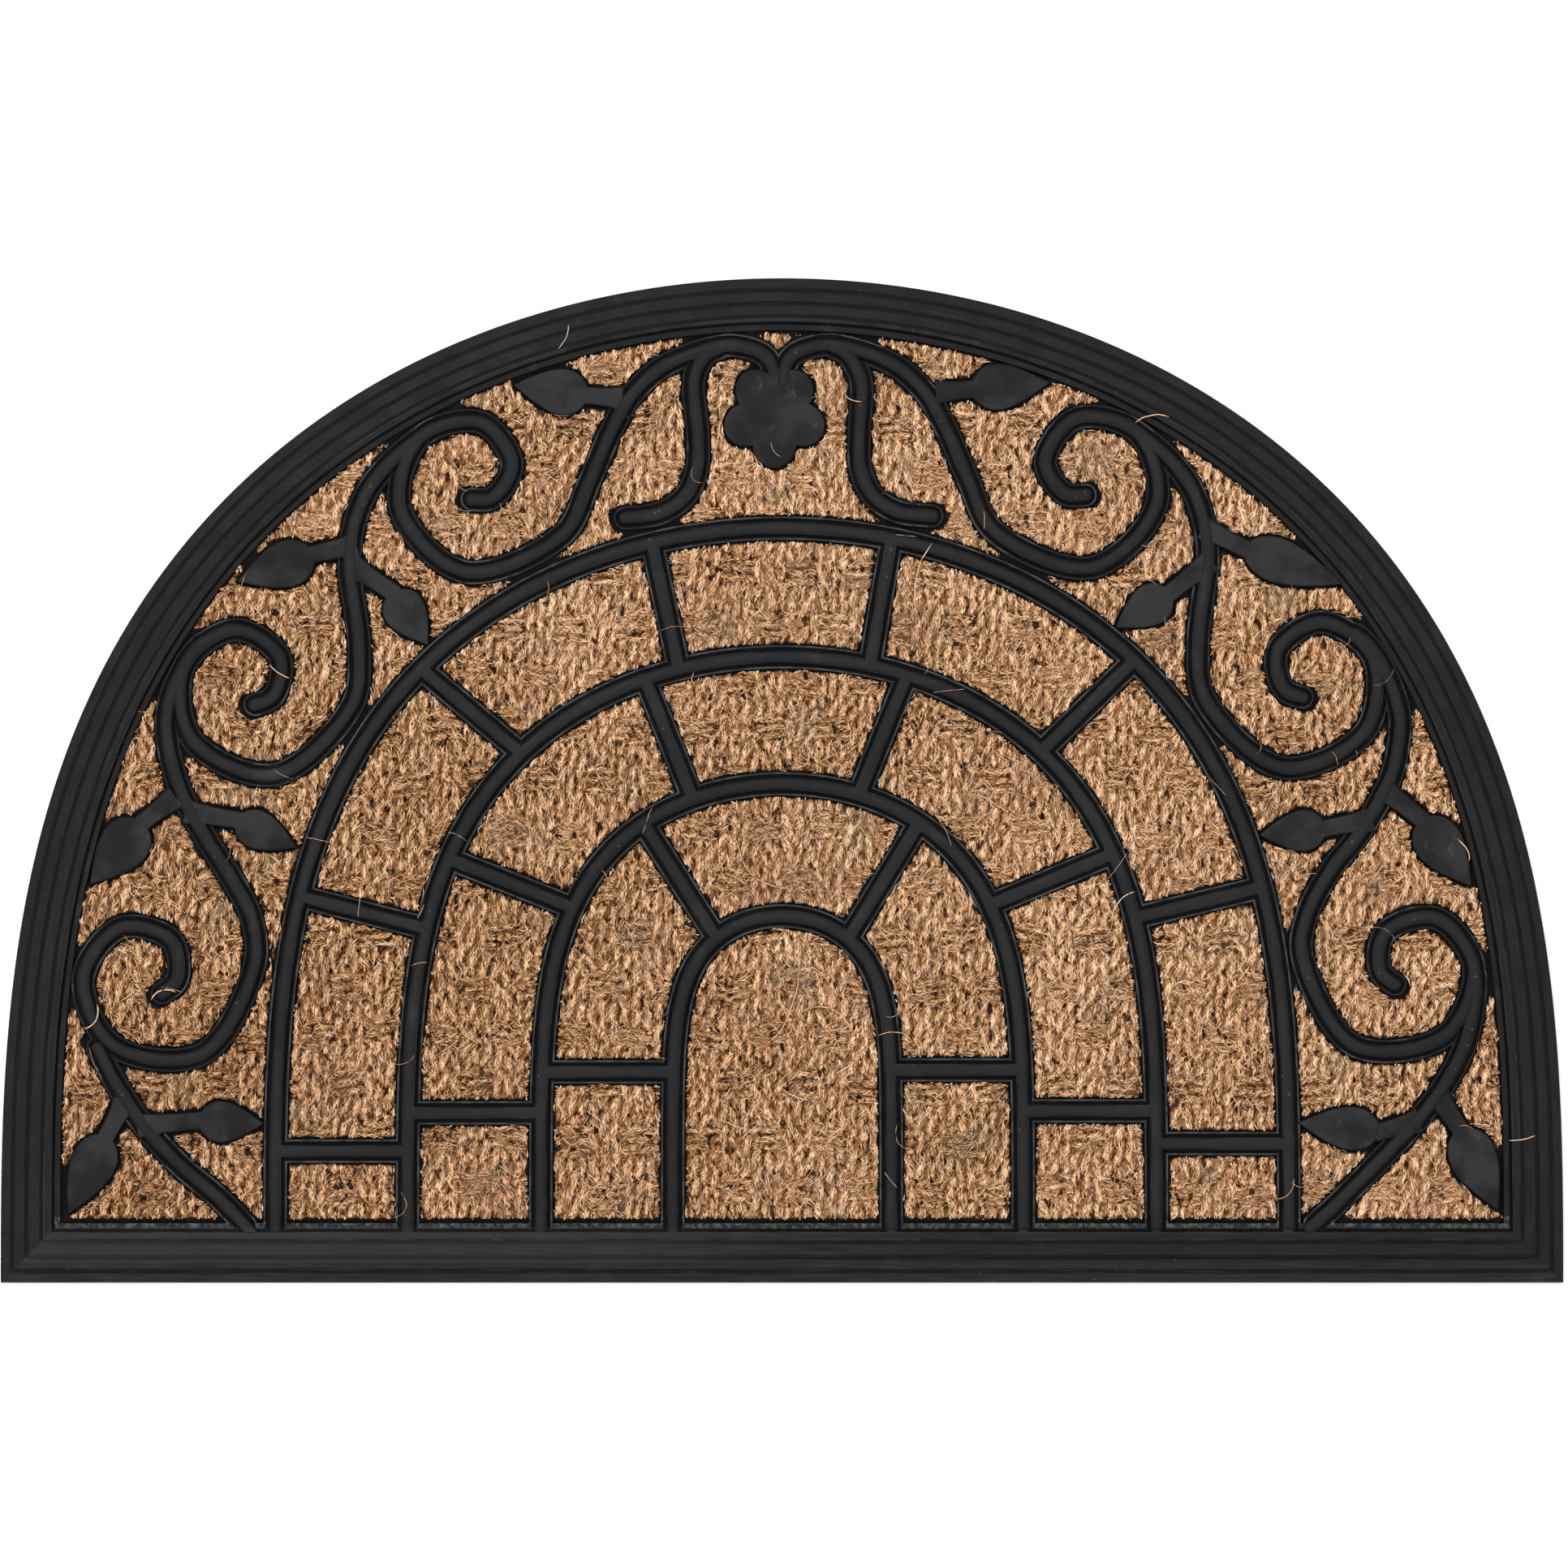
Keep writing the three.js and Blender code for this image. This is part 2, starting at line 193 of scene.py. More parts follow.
def thinned(points, tolerance, longest=40.0):
    """The same line with the longest chords that stay within the tolerance."""
    kept = [0]
    start = 0
    reach = along(points)
    while start < len(points) - 1:
        end = start + 1
        while end + 1 < len(points) and reach[end + 1] - reach[start] < longest:
            chord = points[end + 1] - points[start]
            offset = points[start + 1 : end + 1] - points[start]
            twice_area = np.abs(chord[0] * offset[:, 1] - chord[1] * offset[:, 0])
            if twice_area.max() > tolerance * np.hypot(*chord):
                break
            end += 1
        kept.append(end)
        start = end
    return points[kept]


def half_round(half_width, height, squareness, foot, angles):
    """A flattened arch from its left foot over the crown to its right foot."""
    rise = height * np.sin(angles) ** (2 / squareness)
    left = np.stack([-half_width * np.cos(angles), foot + rise], axis=1)
    return np.concatenate([left, (left * (-1, 1))[-2::-1]])


def inset_line(side, front, crown, squareness, angles):
    height = MAT_DEPTH - front - crown
    return half_round(MAT_WIDTH / 2 - side, height, squareness, FRONT + front, angles)


def even_angles(side, front, crown, squareness, step):
    """Angles of a half round's left half that lie evenly along it."""
    fine = (np.linspace(0, 1, 4001) ** 1.6) * math.pi / 2
    line = inset_line(side, front, crown, squareness, fine)[:4001]
    reach = along(line)
    return np.interp(np.linspace(0, reach[-1], int(reach[-1] / step)), reach, fine)


def between(t, start, end, a, b):
    """a at the start, b at the end, and in proportion at t."""
    return (end - t) / (end - start) * a + (t - start) / (end - start) * b


def smooth_line(knots):
    """A centripetal curve through the knots."""
    knots = np.array(knots, float)
    knots = np.concatenate([[2 * knots[0] - knots[1]], knots, [2 * knots[-1] - knots[-2]]])
    line = []
    for a, b, c, d in zip(knots, knots[1:], knots[2:], knots[3:]):
        t1 = np.linalg.norm(b - a) ** 0.5
        t2 = t1 + np.linalg.norm(c - b) ** 0.5
        t3 = t2 + np.linalg.norm(d - c) ** 0.5
        t = np.linspace(t1, t2, 40, endpoint=False)[:, None]
        near = between(t, 0.0, t2, between(t, 0.0, t1, a, b), between(t, t1, t2, b, c))
        far = between(t, t1, t3, between(t, t1, t2, b, c), between(t, t2, t3, c, d))
        line.append(between(t, t1, t2, near, far))
    return resampled(np.concatenate(line + [knots[-2:-1]]), RIB_STEP)


def mirrored(line):
    away = VINE_AXIS - line[:, 0]
    return np.stack([VINE_AXIS + away, line[:, 1] + RIGHT_CLIMB * away], axis=1)[::-1]


def scroll_line(stem, eye, first):
    turns = np.radians(first - SCROLL_STEP * np.arange(len(SCROLL_RADII)))
    winding = np.stack([np.cos(turns), np.sin(turns)], axis=1) * np.array(SCROLL_RADII)[:, None] + eye
    return smooth_line(list(stem) + [tuple(p) for p in winding])


def meeting_place(start, end):
    """Where a joint running from start through end meets the middle of an arch's rib."""
    way = (end - start) / np.hypot(*(end - start))
    places = end + way * np.arange(-4, 12.01, 0.25)[:, None]
    x, y = places[:, 0], places[:, 1] - ARCH_FOOT
    levels = [np.abs((x / w) ** 2 + (y / h) ** q - 1) for w, h, q in ARCHES]
    return places[np.argmin(np.min(levels, axis=0))]


def rib_lines():
    """Arches, joints and vines, each with the name of its kind."""
    angles = np.linspace(0, math.pi / 2, 900)
    lines = [("arch", half_round(w, h, q, ARCH_FOOT, angles)) for w, h, q in ARCHES]
    for ends in np.array(JOINTS, float):
        ends = np.array([meeting_place(ends[1], ends[0]), meeting_place(ends[0], ends[1])])
        lines.append(("joint", resampled(ends, 4.0)))
    for stem, eye, first, sides in VINES:
        line = scroll_line(stem, eye, first)
        lines += [("vine", line if side == "L" else mirrored(line)) for side in sides]
    lines += [("vine", smooth_line(knots)) for knots in BRANCHES]
    return [(kind, thinned(resampled(line, RIB_STEP), RIB_TOLERANCE)) for kind, line in lines]


def lengthened(line, amount):
    first, last = line[0] - line[1], line[-1] - line[-2]
    start = line[0] + first * amount / np.hypot(*first)
    end = line[-1] + last * amount / np.hypot(*last)
    return np.concatenate([[start], line[1:-1], [end]])


def sideways(line):
    """Unit vector to the left of a line at each point, lengthened at bends."""
    into = np.diff(line, axis=0)
    into /= np.linalg.norm(into, axis=1)[:, None]
    before = np.concatenate([into[:1], into])
    after = np.concatenate([into, into[-1:]])
    tangent = before + after
    tangent /= np.linalg.norm(tangent, axis=1)[:, None]
    stretch = 1 / np.maximum((tangent * after).sum(1), 0.5)
    return np.stack([-tangent[:, 1], tangent[:, 0]], axis=1) * stretch[:, None]


# Meshes


def make_object(name, verts, faces, sizes=None):
    """An object from corners in millimetres.

    faces is a flat list of corner numbers, and sizes tells how many of them each face takes."""
    mesh = bpy.data.meshes.new(name)
    verts = np.asarray(verts, np.float32) * MM
    faces = np.asarray(faces, np.int32).ravel()
    sizes = np.full(len(faces) // 4, 4, np.int32) if sizes is None else np.asarray(sizes, np.int32)
    mesh.vertices.add(len(verts))
    mesh.vertices.foreach_set("co", verts.ravel())
    mesh.loops.add(len(faces))
    mesh.loops.foreach_set("vertex_index", faces)
    mesh.polygons.add(len(sizes))
    mesh.polygons.foreach_set("loop_start", np.concatenate([[0], np.cumsum(sizes)[:-1]]).astype(np.int32))
    mesh.polygons.foreach_set("use_smooth", np.ones(len(sizes), bool))
    mesh.update(calc_edges=True)
    obj = bpy.data.objects.new(name, mesh)
    bpy.context.scene.collection.objects.link(obj)
    return obj


def grid_faces(rows, columns, wrap):
    """Quads of a grid of corners numbered row by row. wrap joins the last column to the first."""
    r = np.arange(rows - 1)[:, None] * columns
    c = np.arange(columns if wrap else columns - 1)[None, :]
    d = (c + 1) % columns
    return np.stack([r + c, r + d, r + columns + d, r + columns + c], -1).reshape(-1, 4)


def level_ring(plan, height):
    """Corners of a plan line at one height."""
    return np.concatenate([plan, np.full((len(plan), 1), height)], axis=1)


def lofted(name, rings):
    """Closed body through rings of corners, its first and last ring capped.

    The first ring runs clockwise seen along the way to the next one."""
    count = len(rings[0])
    verts = np.concatenate(rings)
    quads = grid_faces(len(rings), count, True)
    last = (len(rings) - 1) * count
    faces = np.concatenate([quads.ravel(), np.arange(count)[::-1], last + np.arange(count)])
    sizes = np.concatenate([np.full(len(quads), 4), [count, count]])
    return make_object(name, verts, faces, sizes)


def sweep(name, line, profile, scales=None):
    """Closed body whose section (across, height), given clockwise, follows a plan line."""
    side = sideways(line)
    profile = np.array(profile, float)
    rings = []
    for k, point in enumerate(line):
        wide, low = (1.0, 0.0) if scales is None else scales[k]
        across = point + side[k] * (profile[:, :1] * wide)
        height = np.maximum(profile[:, 1] - low * (profile[:, 1] > GROOVE), profile[0, 1])
        rings.append(np.concatenate([across, height[:, None]], axis=1))
    return lofted(name, rings)


def ribbon(name, line, width, bottom, top, rounded=False):
    """Flat strip along a line, with square or round ends."""
    half = width / 2
    profile = [(-half, bottom), (-half, top), (half, top), (half, bottom)][::-1]
    if not rounded:
        return sweep(name, line, profile)
    angles = np.radians([12, 30, 50, 70, 90])
    line, _ = refined(line, half * (1 - np.cos(angles)), half + 0.4)
    shares = [(share, 0.0) for share in np.sin(angles)]
    return sweep(name, line, profile, with_ends(shares, len(line)))


def with_ends(shares, count):
    """(width, drop) at each point of a line, given for its end and undiminished between."""
    return shares + [(1.0, 0.0)] * (count - 2 * len(shares)) + shares[::-1]


def combined(base, others, operation, name):
    """The base joined with, cut by or kept inside the other bodies, which are used up."""
    group = bpy.data.collections.new(name + "_parts")
    for other in others:
        group.objects.link(other)
    modifier = base.modifiers.new("bool", "BOOLEAN")
    modifier.operation = operation
    modifier.operand_type = "COLLECTION"
    modifier.collection = group
    modifier.solver = "MANIFOLD"
    view = bpy.context.evaluated_depsgraph_get()
    mesh = bpy.data.meshes.new_from_object(base.evaluated_get(view))
    base.modifiers.clear()
    old = base.data
    base.data = mesh
    base.name = name
    mesh.name = name
    bpy.data.meshes.remove(old)
    for other in others:
        data = other.data
        bpy.data.objects.remove(other)
        bpy.data.meshes.remove(data)
    bpy.data.collections.remove(group)
    return base


def joined(objects, name):
    """One body from many that overlap."""
    return combined(objects[0], objects[1:], "UNION", name)


def cut(base, tool):
    return combined(base, [tool], "DIFFERENCE", base.name)


# Rubber moulding


def border_ring(index, shift, height, angles, front_points=60):
    """Corners along one of the border's lines, moved in by shift millimetres, clockwise."""
    side, front, crown, squareness = BORDER[index][:4]
    arch = inset_line(side + shift, front + shift, crown + shift, squareness, angles)
    straight = np.linspace(arch[-1], arch[0], front_points)[1:-1]
    return level_ring(np.concatenate([arch, straight])[::-1], height)


def border_body():
    """Tray floor and stepped border, mitred at the two front corners."""
    angles = even_angles(*BORDER[0][:4], OUTLINE_STEP)
    rings = []

    def ring(index, shift, height):
        rings.append(border_ring(index, shift, height, angles))

    ring(0, 0.5, 0.0)
    ring(0, 0.0, 0.5)
    floor = 0.5
    # Foot, slope and soft shoulder of each step
    for index, step in enumerate(BORDER[:-1]):
        top = step[4]
        rise = RISER if index else EDGE_RISER
        if index:
            ring(index, -0.4, floor)
        ring(index, 0.05, floor + 0.12)
        ring(index, rise - 0.25, top - 0.3)
        ring(index, rise, top - 0.1)
        ring(index, rise + 0.5, top)
        floor = top - 0.05
    ring(4, -1.7, 9.4)
    ring(4, -1.2, 9.25)
    ring(4, -1.0, 8.9)
    ring(4, -1.0, TRAY_FLOOR)
    return lofted("border", rings)


# A bead's section
HALF_BEAD = [(-3.2, 5.5), (-3.2, 7.5), (-3.08, 8.25), (-2.7, 8.95), (-2.1, 9.45), (-1.25, 9.83)]
BEAD = HALF_BEAD + [(0, 10.0)] + [(-x, z) for x, z in HALF_BEAD[::-1]]
# Share of its width and drop of its top at steps from its end
VINE_END = [(0.36, 1.8), (0.68, 0.85), (0.88, 0.3), (1.0, 0.0)], np.array([0.0, 0.4, 1.1, 2.1])
ARCH_END = [(1.0, 0.75), (1.0, 0.55), (1.0, 0.2), (1.0, 0.0)], np.array([0.0, 1.0, 1.6, 2.1])
# How far an arch, and a branch, runs into the border
ARCH_OVERRUN, BRANCH_OVERRUN = 1.4, 3.0


def reaches_border(line):
    return line[-1, 1] < ARCH_FOOT + 3


def bead_body(name, kind, line):
    """Round-topped bead. A vine's free ends are rounded off, and the flower's stems sink into it."""
    if kind == "joint":
        return sweep(name, line, BEAD[::-1])
    shares, steps = ARCH_END if kind == "arch" else VINE_END
    start = line[0]
    if kind == "arch":
        line = lengthened(line, ARCH_OVERRUN)
    elif reaches_border(line):
        line = lengthened(line, BRANCH_OVERRUN)
        line[0] = start
    line, places = refined(line, steps, steps[-1] + 0.1)
    scales = with_ends(shares, len(line))
    if np.hypot(*(start - FLOWER_CENTRE)) < NOTCH_RADIUS:
        sink = 1.5 * np.clip(1 - places / 9.0, 0, 1) ** 1.5
        scales = [(scale, max(drop, low)) for (scale, drop), low in zip(scales, sink)]
    return sweep(name, line, BEAD[::-1], scales)


def blade_half_width(share, half_width):
    return half_width * np.sin(np.pi * share**0.65) ** 0.9


def dome(name, outline, bottom, top):
    """Low pad with a soft edge on a star-shaped outline."""
    middle = outline.mean(axis=0)
    edge = [(0.0, bottom), (0.0, top - 1.0), (0.25, top - 0.45), (0.8, top - 0.1), (1.7, top)]
    inward = outline - middle
    length = np.linalg.norm(inward, axis=1)[:, None]
    rings = []
    for inset, height in edge:
        rings.append(level_ring(middle + inward * np.maximum(1 - inset / length, 0.1), height))
    for share, height in [(0.55, top + 0.1), (0.2, top + 0.16)]:
        rings.append(level_ring(middle + inward * (1 - 1.7 / length) * share, height))
    return lofted(name, rings)


def leaf_outline(base, tip, half_width):
    base, tip = np.array(base, float), np.array(tip, float)
    way = tip - base
    across = np.array([-way[1], way[0]]) / np.hypot(*way)
    share = np.linspace(0, 1, 19)
    half = np.maximum(blade_half_width(share, half_width), 0.3)
    middle = base + share[:, None] * way
    near = middle + across * half[:, None]
    far = middle - across * half[:, None]
    return np.concatenate([near, far[::-1]])[::-1]


def flower_outline():
    turns = np.linspace(0, 2 * np.pi, PETALS * 18, endpoint=False)
    lobes = np.abs(np.cos(PETALS * turns / 2)) ** 0.9
    radius = NOTCH_RADIUS + (PETAL_RADIUS - NOTCH_RADIUS) * lobes
    turned = turns - np.pi / 2
    return np.stack([np.cos(turned), np.sin(turned)], axis=1) * radius[:, None] + FLOWER_CENTRE


def stalk_body(name, start, end):
    """Flat-topped stalk that flares where it leaves the vine."""
    line = resampled(np.array([start, end], float), 1.2)
    line = lengthened(line, 3.0)
    profile = [(-4.1, 5.5), (-4.1, 8.2), (-3.8, 8.75), (-3.1, 9.1), (-1.5, 9.2)]
    profile = profile + [(-x, z) for x, z in profile[::-1]]
    share = along(line) / along(line)[-1]
    scales = [(1 + 0.45 * (1 - s) ** 3, 0.0) for s in share]
    return sweep(name, line, profile[::-1], scales)


def rubber_body(ribs):
    """The whole moulding, from its ribs' plan lines."""
    flanges, grooves, beads = [], [], []
    overrun = {"vine": (FLANGE_WIDTH - BEAD_WIDTH) / 2, "arch": ARCH_OVERRUN, "joint": 0.3}
    for number, (kind, line) in enumerate(ribs):
        rounded = kind == "vine"
        lip = (FLANGE_WIDTH - GROOVE_WIDTH) / 2 if rounded else 0.0
        strips = [
            (flanges, "flange", overrun[kind], FLANGE_WIDTH, FLANGE_UNDER, LIP_TOP),
            (grooves, "groove", overrun[kind] - lip, GROOVE_WIDTH, GROOVE, ABOVE_ALL),
        ]
        for group, name, spare, *sizes in strips:
            group.append(ribbon(f"{name}{number}", lengthened(line, spare), *sizes, rounded))
        beads.append(bead_body(f"bead{number}", kind, line))
    rim = ring_body("rim", -1.5, RIM_WIDTH, FLANGE_UNDER, LIP_TOP)
    grooves.append(ring_body("rim_groove", -0.9, 0.3, GROOVE, ABOVE_ALL))
    grille = cut(joined(flanges + [rim], "grille"), joined(grooves, "grooves"))
    pads = []
    for number, (stalk, base, tip, half_width) in enumerate(LEAVES):
        pads.append(stalk_body(f"stalk{number}", stalk, base))
        pads.append(dome(f"leaf{number}", leaf_outline(base, tip, half_width), PAD_FOOT, PAD_TOP))
    pads.append(dome("flower", flower_outline(), PAD_FOOT, PAD_TOP))
    # The raised work ends just outside the border's inner wall
    raised = cut(joined(beads + pads, "raised"), ring_body("outside", -60, -1.3, 4.0, ABOVE_ALL))
    return joined([border_body(), grille, raised], "rubber_mat")


def ring_body(name, outside, inside, bottom, top):
    """Flat ring between two lines, by their distance inwards from the border's inner wall."""
    angles = even_angles(*RIM, OUTLINE_STEP)
    corners = [(outside, bottom), (outside, top), (inside, top), (inside, bottom)]
    rings = [border_ring(4, shift, height, angles) for shift, height in corners]
    count = len(rings[0])
    quads = grid_faces(5, count, True) % (4 * count)
    return make_object(name, np.concatenate(rings), quads)


# Clearance: how far a place lies from the nearest rubber that bounds its cell, negative on the rubber

PITCH = 0.5
LOW = np.array([-336.0, -212.0])
SPAN = (1345, 850)
FAR = 9.0


def window(corners, reach):
    """Index ranges of the clearance grid around some corners, and the places there."""
    first = np.maximum(((corners.min(axis=0) - reach - LOW) / PITCH).astype(int), 0)
    last = np.minimum(((corners.max(axis=0) + reach - LOW) / PITCH).astype(int) + 1, SPAN)
    x = LOW[0] + PITCH * np.arange(first[0], last[0])
    y = LOW[1] + PITCH * np.arange(first[1], last[1])
    return slice(first[0], last[0]), slice(first[1], last[1]), x[:, None], y[None, :]


def gap_to_segment(x, y, a, b):
    way = b - a
    share = ((x - a[0]) * way[0] + (y - a[1]) * way[1]) / max(way @ way, 1e-9)
    share = np.clip(share, 0, 1)
    return np.hypot(x - a[0] - share * way[0], y - a[1] - share * way[1])


def near_segments(field, line, half_width):
    """Lowers the grid to the distance from a strip along the line."""
    for a, b in zip(line, line[1:]):
        sx, sy, x, y = window(np.array([a, b]), FAR + half_width)
        field[sx, sy] = np.minimum(field[sx, sy], gap_to_segment(x, y, a, b) - half_width)


def near_pad(field, outline):
    """Lowers the grid to the distance from a closed outline, negative inside it."""
    sx, sy, x, y = window(outline, FAR)
    least = np.full(np.broadcast(x, y).shape, FAR)
    inside = np.zeros(least.shape, bool)
    for a, b in zip(outline, np.roll(outline, -1, axis=0)):
        least = np.minimum(least, gap_to_segment(x, y, a, b))
        if a[1] != b[1]:
            crossing = a[0] + (y - a[1]) * (b[0] - a[0]) / (b[1] - a[1])
            inside ^= ((a[1] > y) != (b[1] > y)) & (x < crossing)
    field[sx, sy] = np.minimum(field[sx, sy], np.where(inside, -least, least))


# How far short of a vine's round free ends its strip stops, and the room beside a stalk
FREE_END, STALK_ROOM = 1.4, 0.5


def clearance_grid(ribs):
    """Distances from the ribs, the stalks, the pads and the rim on a grid of places."""
    field = np.full(SPAN, FAR)
    for kind, line in ribs:
        free_end = kind == "vine" and not reaches_border(line)
        near_segments(field, lengthened(line, -FREE_END if free_end else 0.1), FLANGE_WIDTH / 2)
    for stalk, base, tip, half_width in LEAVES:
        near_segments(field, np.array([stalk, base], float), STALK_WIDTH / 2 + STALK_ROOM)
        near_pad(field, leaf_outline(base, tip, half_width))
    near_pad(field, flower_outline())
    side, front, crown, squareness = BORDER[4][:4]
    angles = even_angles(*RIM, 3.0)
    rim = inset_line(side + RIM_WIDTH, front + FRONT_RIM_WIDTH, crown + RIM_WIDTH, squareness, angles)
    _, _, x, y = window(np.array([LOW, LOW + np.array(SPAN) * PITCH]), 0)
    half_width, foot = rim[:, 0].max(), rim[0, 1]
    rise = np.maximum(y - foot, 0) / (rim[:, 1].max() - foot)
    outside = ((np.abs(x) / half_width) ** 2 + rise**squareness > 1) | (y < foot)
    least = np.full(SPAN, FAR)
    near_segments(least, np.concatenate([rim, rim[:1]]), 0.0)
    return without_slivers(np.minimum(field, np.where(outside, -least, least)))


def without_slivers(field, radius=1.9):
    """Closes the places too narrow for a disc."""
    roomy = field >= radius
    reached = np.zeros(field.shape, bool)
    steps = range(-round(radius / PITCH), round(radius / PITCH) + 1)
    for i in steps:
        for j in steps:
            if math.hypot(i, j) * PITCH <= radius + 0.1:
                reached |= np.roll(roomy, (i, j), (0, 1))
    return np.where(reached, field, np.minimum(field, -0.3))


def within(grid, i, j, u, v):
    """Value between four neighbours of a grid, straight in both directions."""
    low = grid[i, j] * (1 - u) + grid[i + 1, j] * u
    high = grid[i, j + 1] * (1 - u) + grid[i + 1, j + 1] * u
    return low * (1 - v) + high * v


def sampled(field, places):
    """Values of a grid at places."""
    steps = np.clip((places - LOW) / PITCH, 0, np.array(SPAN) - 1.001)
    i, j = steps[..., 0].astype(int), steps[..., 1].astype(int)
    return within(field, i, j, steps[..., 0] - i, steps[..., 1] - j)


def blotches(seed, size, span=720.0):
    """A function of place that wanders smoothly between about -1 and 1 over patches of a size."""
    rng = np.random.default_rng(seed)
    count = int(span / size) + 4
    knots = rng.uniform(-1, 1, (count, count))

    def value(x, y):
        u, v = (x + span / 2) / size + 1, (y + span / 2) / size + 1
        i, j = np.floor(u).astype(int), np.floor(v).astype(int)
        u, v = u - i, v - j
        u, v = u * u * (3 - 2 * u), v * v * (3 - 2 * v)
        return within(knots, np.clip(i, 0, count - 2), np.clip(j, 0, count - 2), u, v)

    return value


# Weave

lean_x = blotches(11, 60)
lean_y = blotches(12, 45)
ripple_x = blotches(13, 17)
ripple_y = blotches(14, 21)
openings = blotches(15, 9)
fringe = blotches(16, 1.9)


def unbent(x, y):
    """Where a place would be in an even weave."""
    return x + 1.8 * lean_x(x, y) + 1.2 * ripple_x(x, y), y + 3.5 * lean_y(x, y) + 2.2 * ripple_y(x, y)


def weave(x, y):
    """Column number, place across the column (0 to 1) and distance along it from the nearest weft block."""
    u = x / COLUMN
    column = np.floor(u).astype(int)
    step = (y + (column % 2) * REPEAT / 2) / REPEAT
    return column, u - column, (step - np.round(step)) * REPEAT


def warp_height(reach):
    """Top of the warp by distance from the weft block that crosses it."""
    rise = np.clip((np.abs(reach) - 3.5) / 6.5, 0, 1)
    float_share = np.clip(np.abs(reach) / (REPEAT / 2), 0, 1)
    return COIR_TOP - 2.2 + 1.9 * rise * rise * (3 - 2 * rise) + 0.45 * float_share


def weft_height(across):
    """Top of the weft by its place across the column."""
    edge = np.abs(across - 0.5) * 2
    return COIR_TOP - 0.35 - 1.5 * np.clip(edge - 0.4, 0, 1) ** 1.5


# Steps from yarn to yarn, as shares of a turn and of the hand, and the share twisted the other way
TURN_STEP, HAND_STEP, OTHER_HAND = 0.618034, 0.381966, 0.24


def yarn_turn(number):
    """Each yarn's own share of a turn, and the hand of its twist."""
    return number * TURN_STEP % 1, np.where(number * HAND_STEP % 1 < OTHER_HAND, -1.0, 1.0)


def rope_height(side, place, number, yarn):
    """Top of a two-ply yarn, 0 at its highest, at a place along it and to the side of its middle."""
    twist, offset, radius = yarn
    phase, hand = yarn_turn(number)
    turn = 2 * np.pi * (place / twist + phase)
    best = np.full(np.shape(side), -1.9)
    for ply in (turn, turn + np.pi):
        off = side - hand * offset * np.sin(ply)
        over = offset * np.cos(ply) + np.sqrt(np.maximum(radius**2 - off**2, 0)) - offset - radius
        best = np.where(np.abs(off) < radius, np.maximum(best, over), best)
    return best


def bent(u, v):
    """Where a place of the even weave lies in the panel."""
    x, y = u, v
    for _ in range(3):
        shift_x, shift_y = unbent(x, y)
        x, y = x + u - shift_x, y + v - shift_y
    return x, y


# With less room than this to the rubber, the panel is pressed flat
CELL_EDGE = 0.12


def snapped(places, field):
    """Corners near the edge of a cell are moved onto it."""
    room = sampled(field, places)
    slope = np.stack(np.gradient(field, PITCH), axis=-1)
    way = np.stack([sampled(slope[..., k], places) for k in (0, 1)], axis=-1)
    near = (np.abs(room) < 0.85) & (np.linalg.norm(way, axis=-1) > 0.5)
    length = np.maximum((way**2).sum(-1), 0.25)
    moved = places - way * np.clip(room / length, -0.95, 0.95)[..., None]
    return np.where(near[..., None], moved, places)


def held_down(height, room):
    """The panel droops towards the rubber that presses on it."""
    return PRESSED + (height - PRESSED) * (1 - 0.36 * np.exp(-np.maximum(room, 0) / 1.1))


# Half width and half length of an open crossing
HOLE_ACROSS, HOLE_ALONG = 2.2, 1.9


def hole_share(u, v):
    """True in the gaps that open at some of the weave's crossings."""
    _, across, reach = weave(u, v)
    aside = (0.5 - np.abs(across - 0.5)) * COLUMN / HOLE_ACROSS
    beyond = (np.abs(reach) - WEFT_BLOCK / 2) / HOLE_ALONG
    return (np.hypot(aside, beyond) < 1) & (openings(u, v) > 0.08)


def coir_height(u, v):
    """Top of the yarns under their fibres, and its depth below a weave of smooth yarns."""
    _, across, reach = weave(u, v)
    pitch = COLUMN / WARP_YARNS
    number = np.floor(u / pitch)
    warp = warp_height(reach) + rope_height(u - (number + 0.5) * pitch, v, number, WARP)
    pitch = WEFT_BLOCK / WEFT_YARNS
    row = np.floor(reach / pitch + WEFT_YARNS / 2)
    side = reach - (row - (WEFT_YARNS - 1) / 2) * pitch
    weft = weft_height(across) + rope_height(side, u, row + 7 * np.floor(u / COLUMN), WEFT)
    on_top = (np.abs(reach) < WEFT_BLOCK / 2) & (weft_height(across) > warp_height(reach))
    smooth = np.where(on_top, weft_height(across), warp_height(reach))
    height = np.where(on_top, weft, warp)
    return height - 0.7 - 1.5 * hole_share(u, v), smooth - height


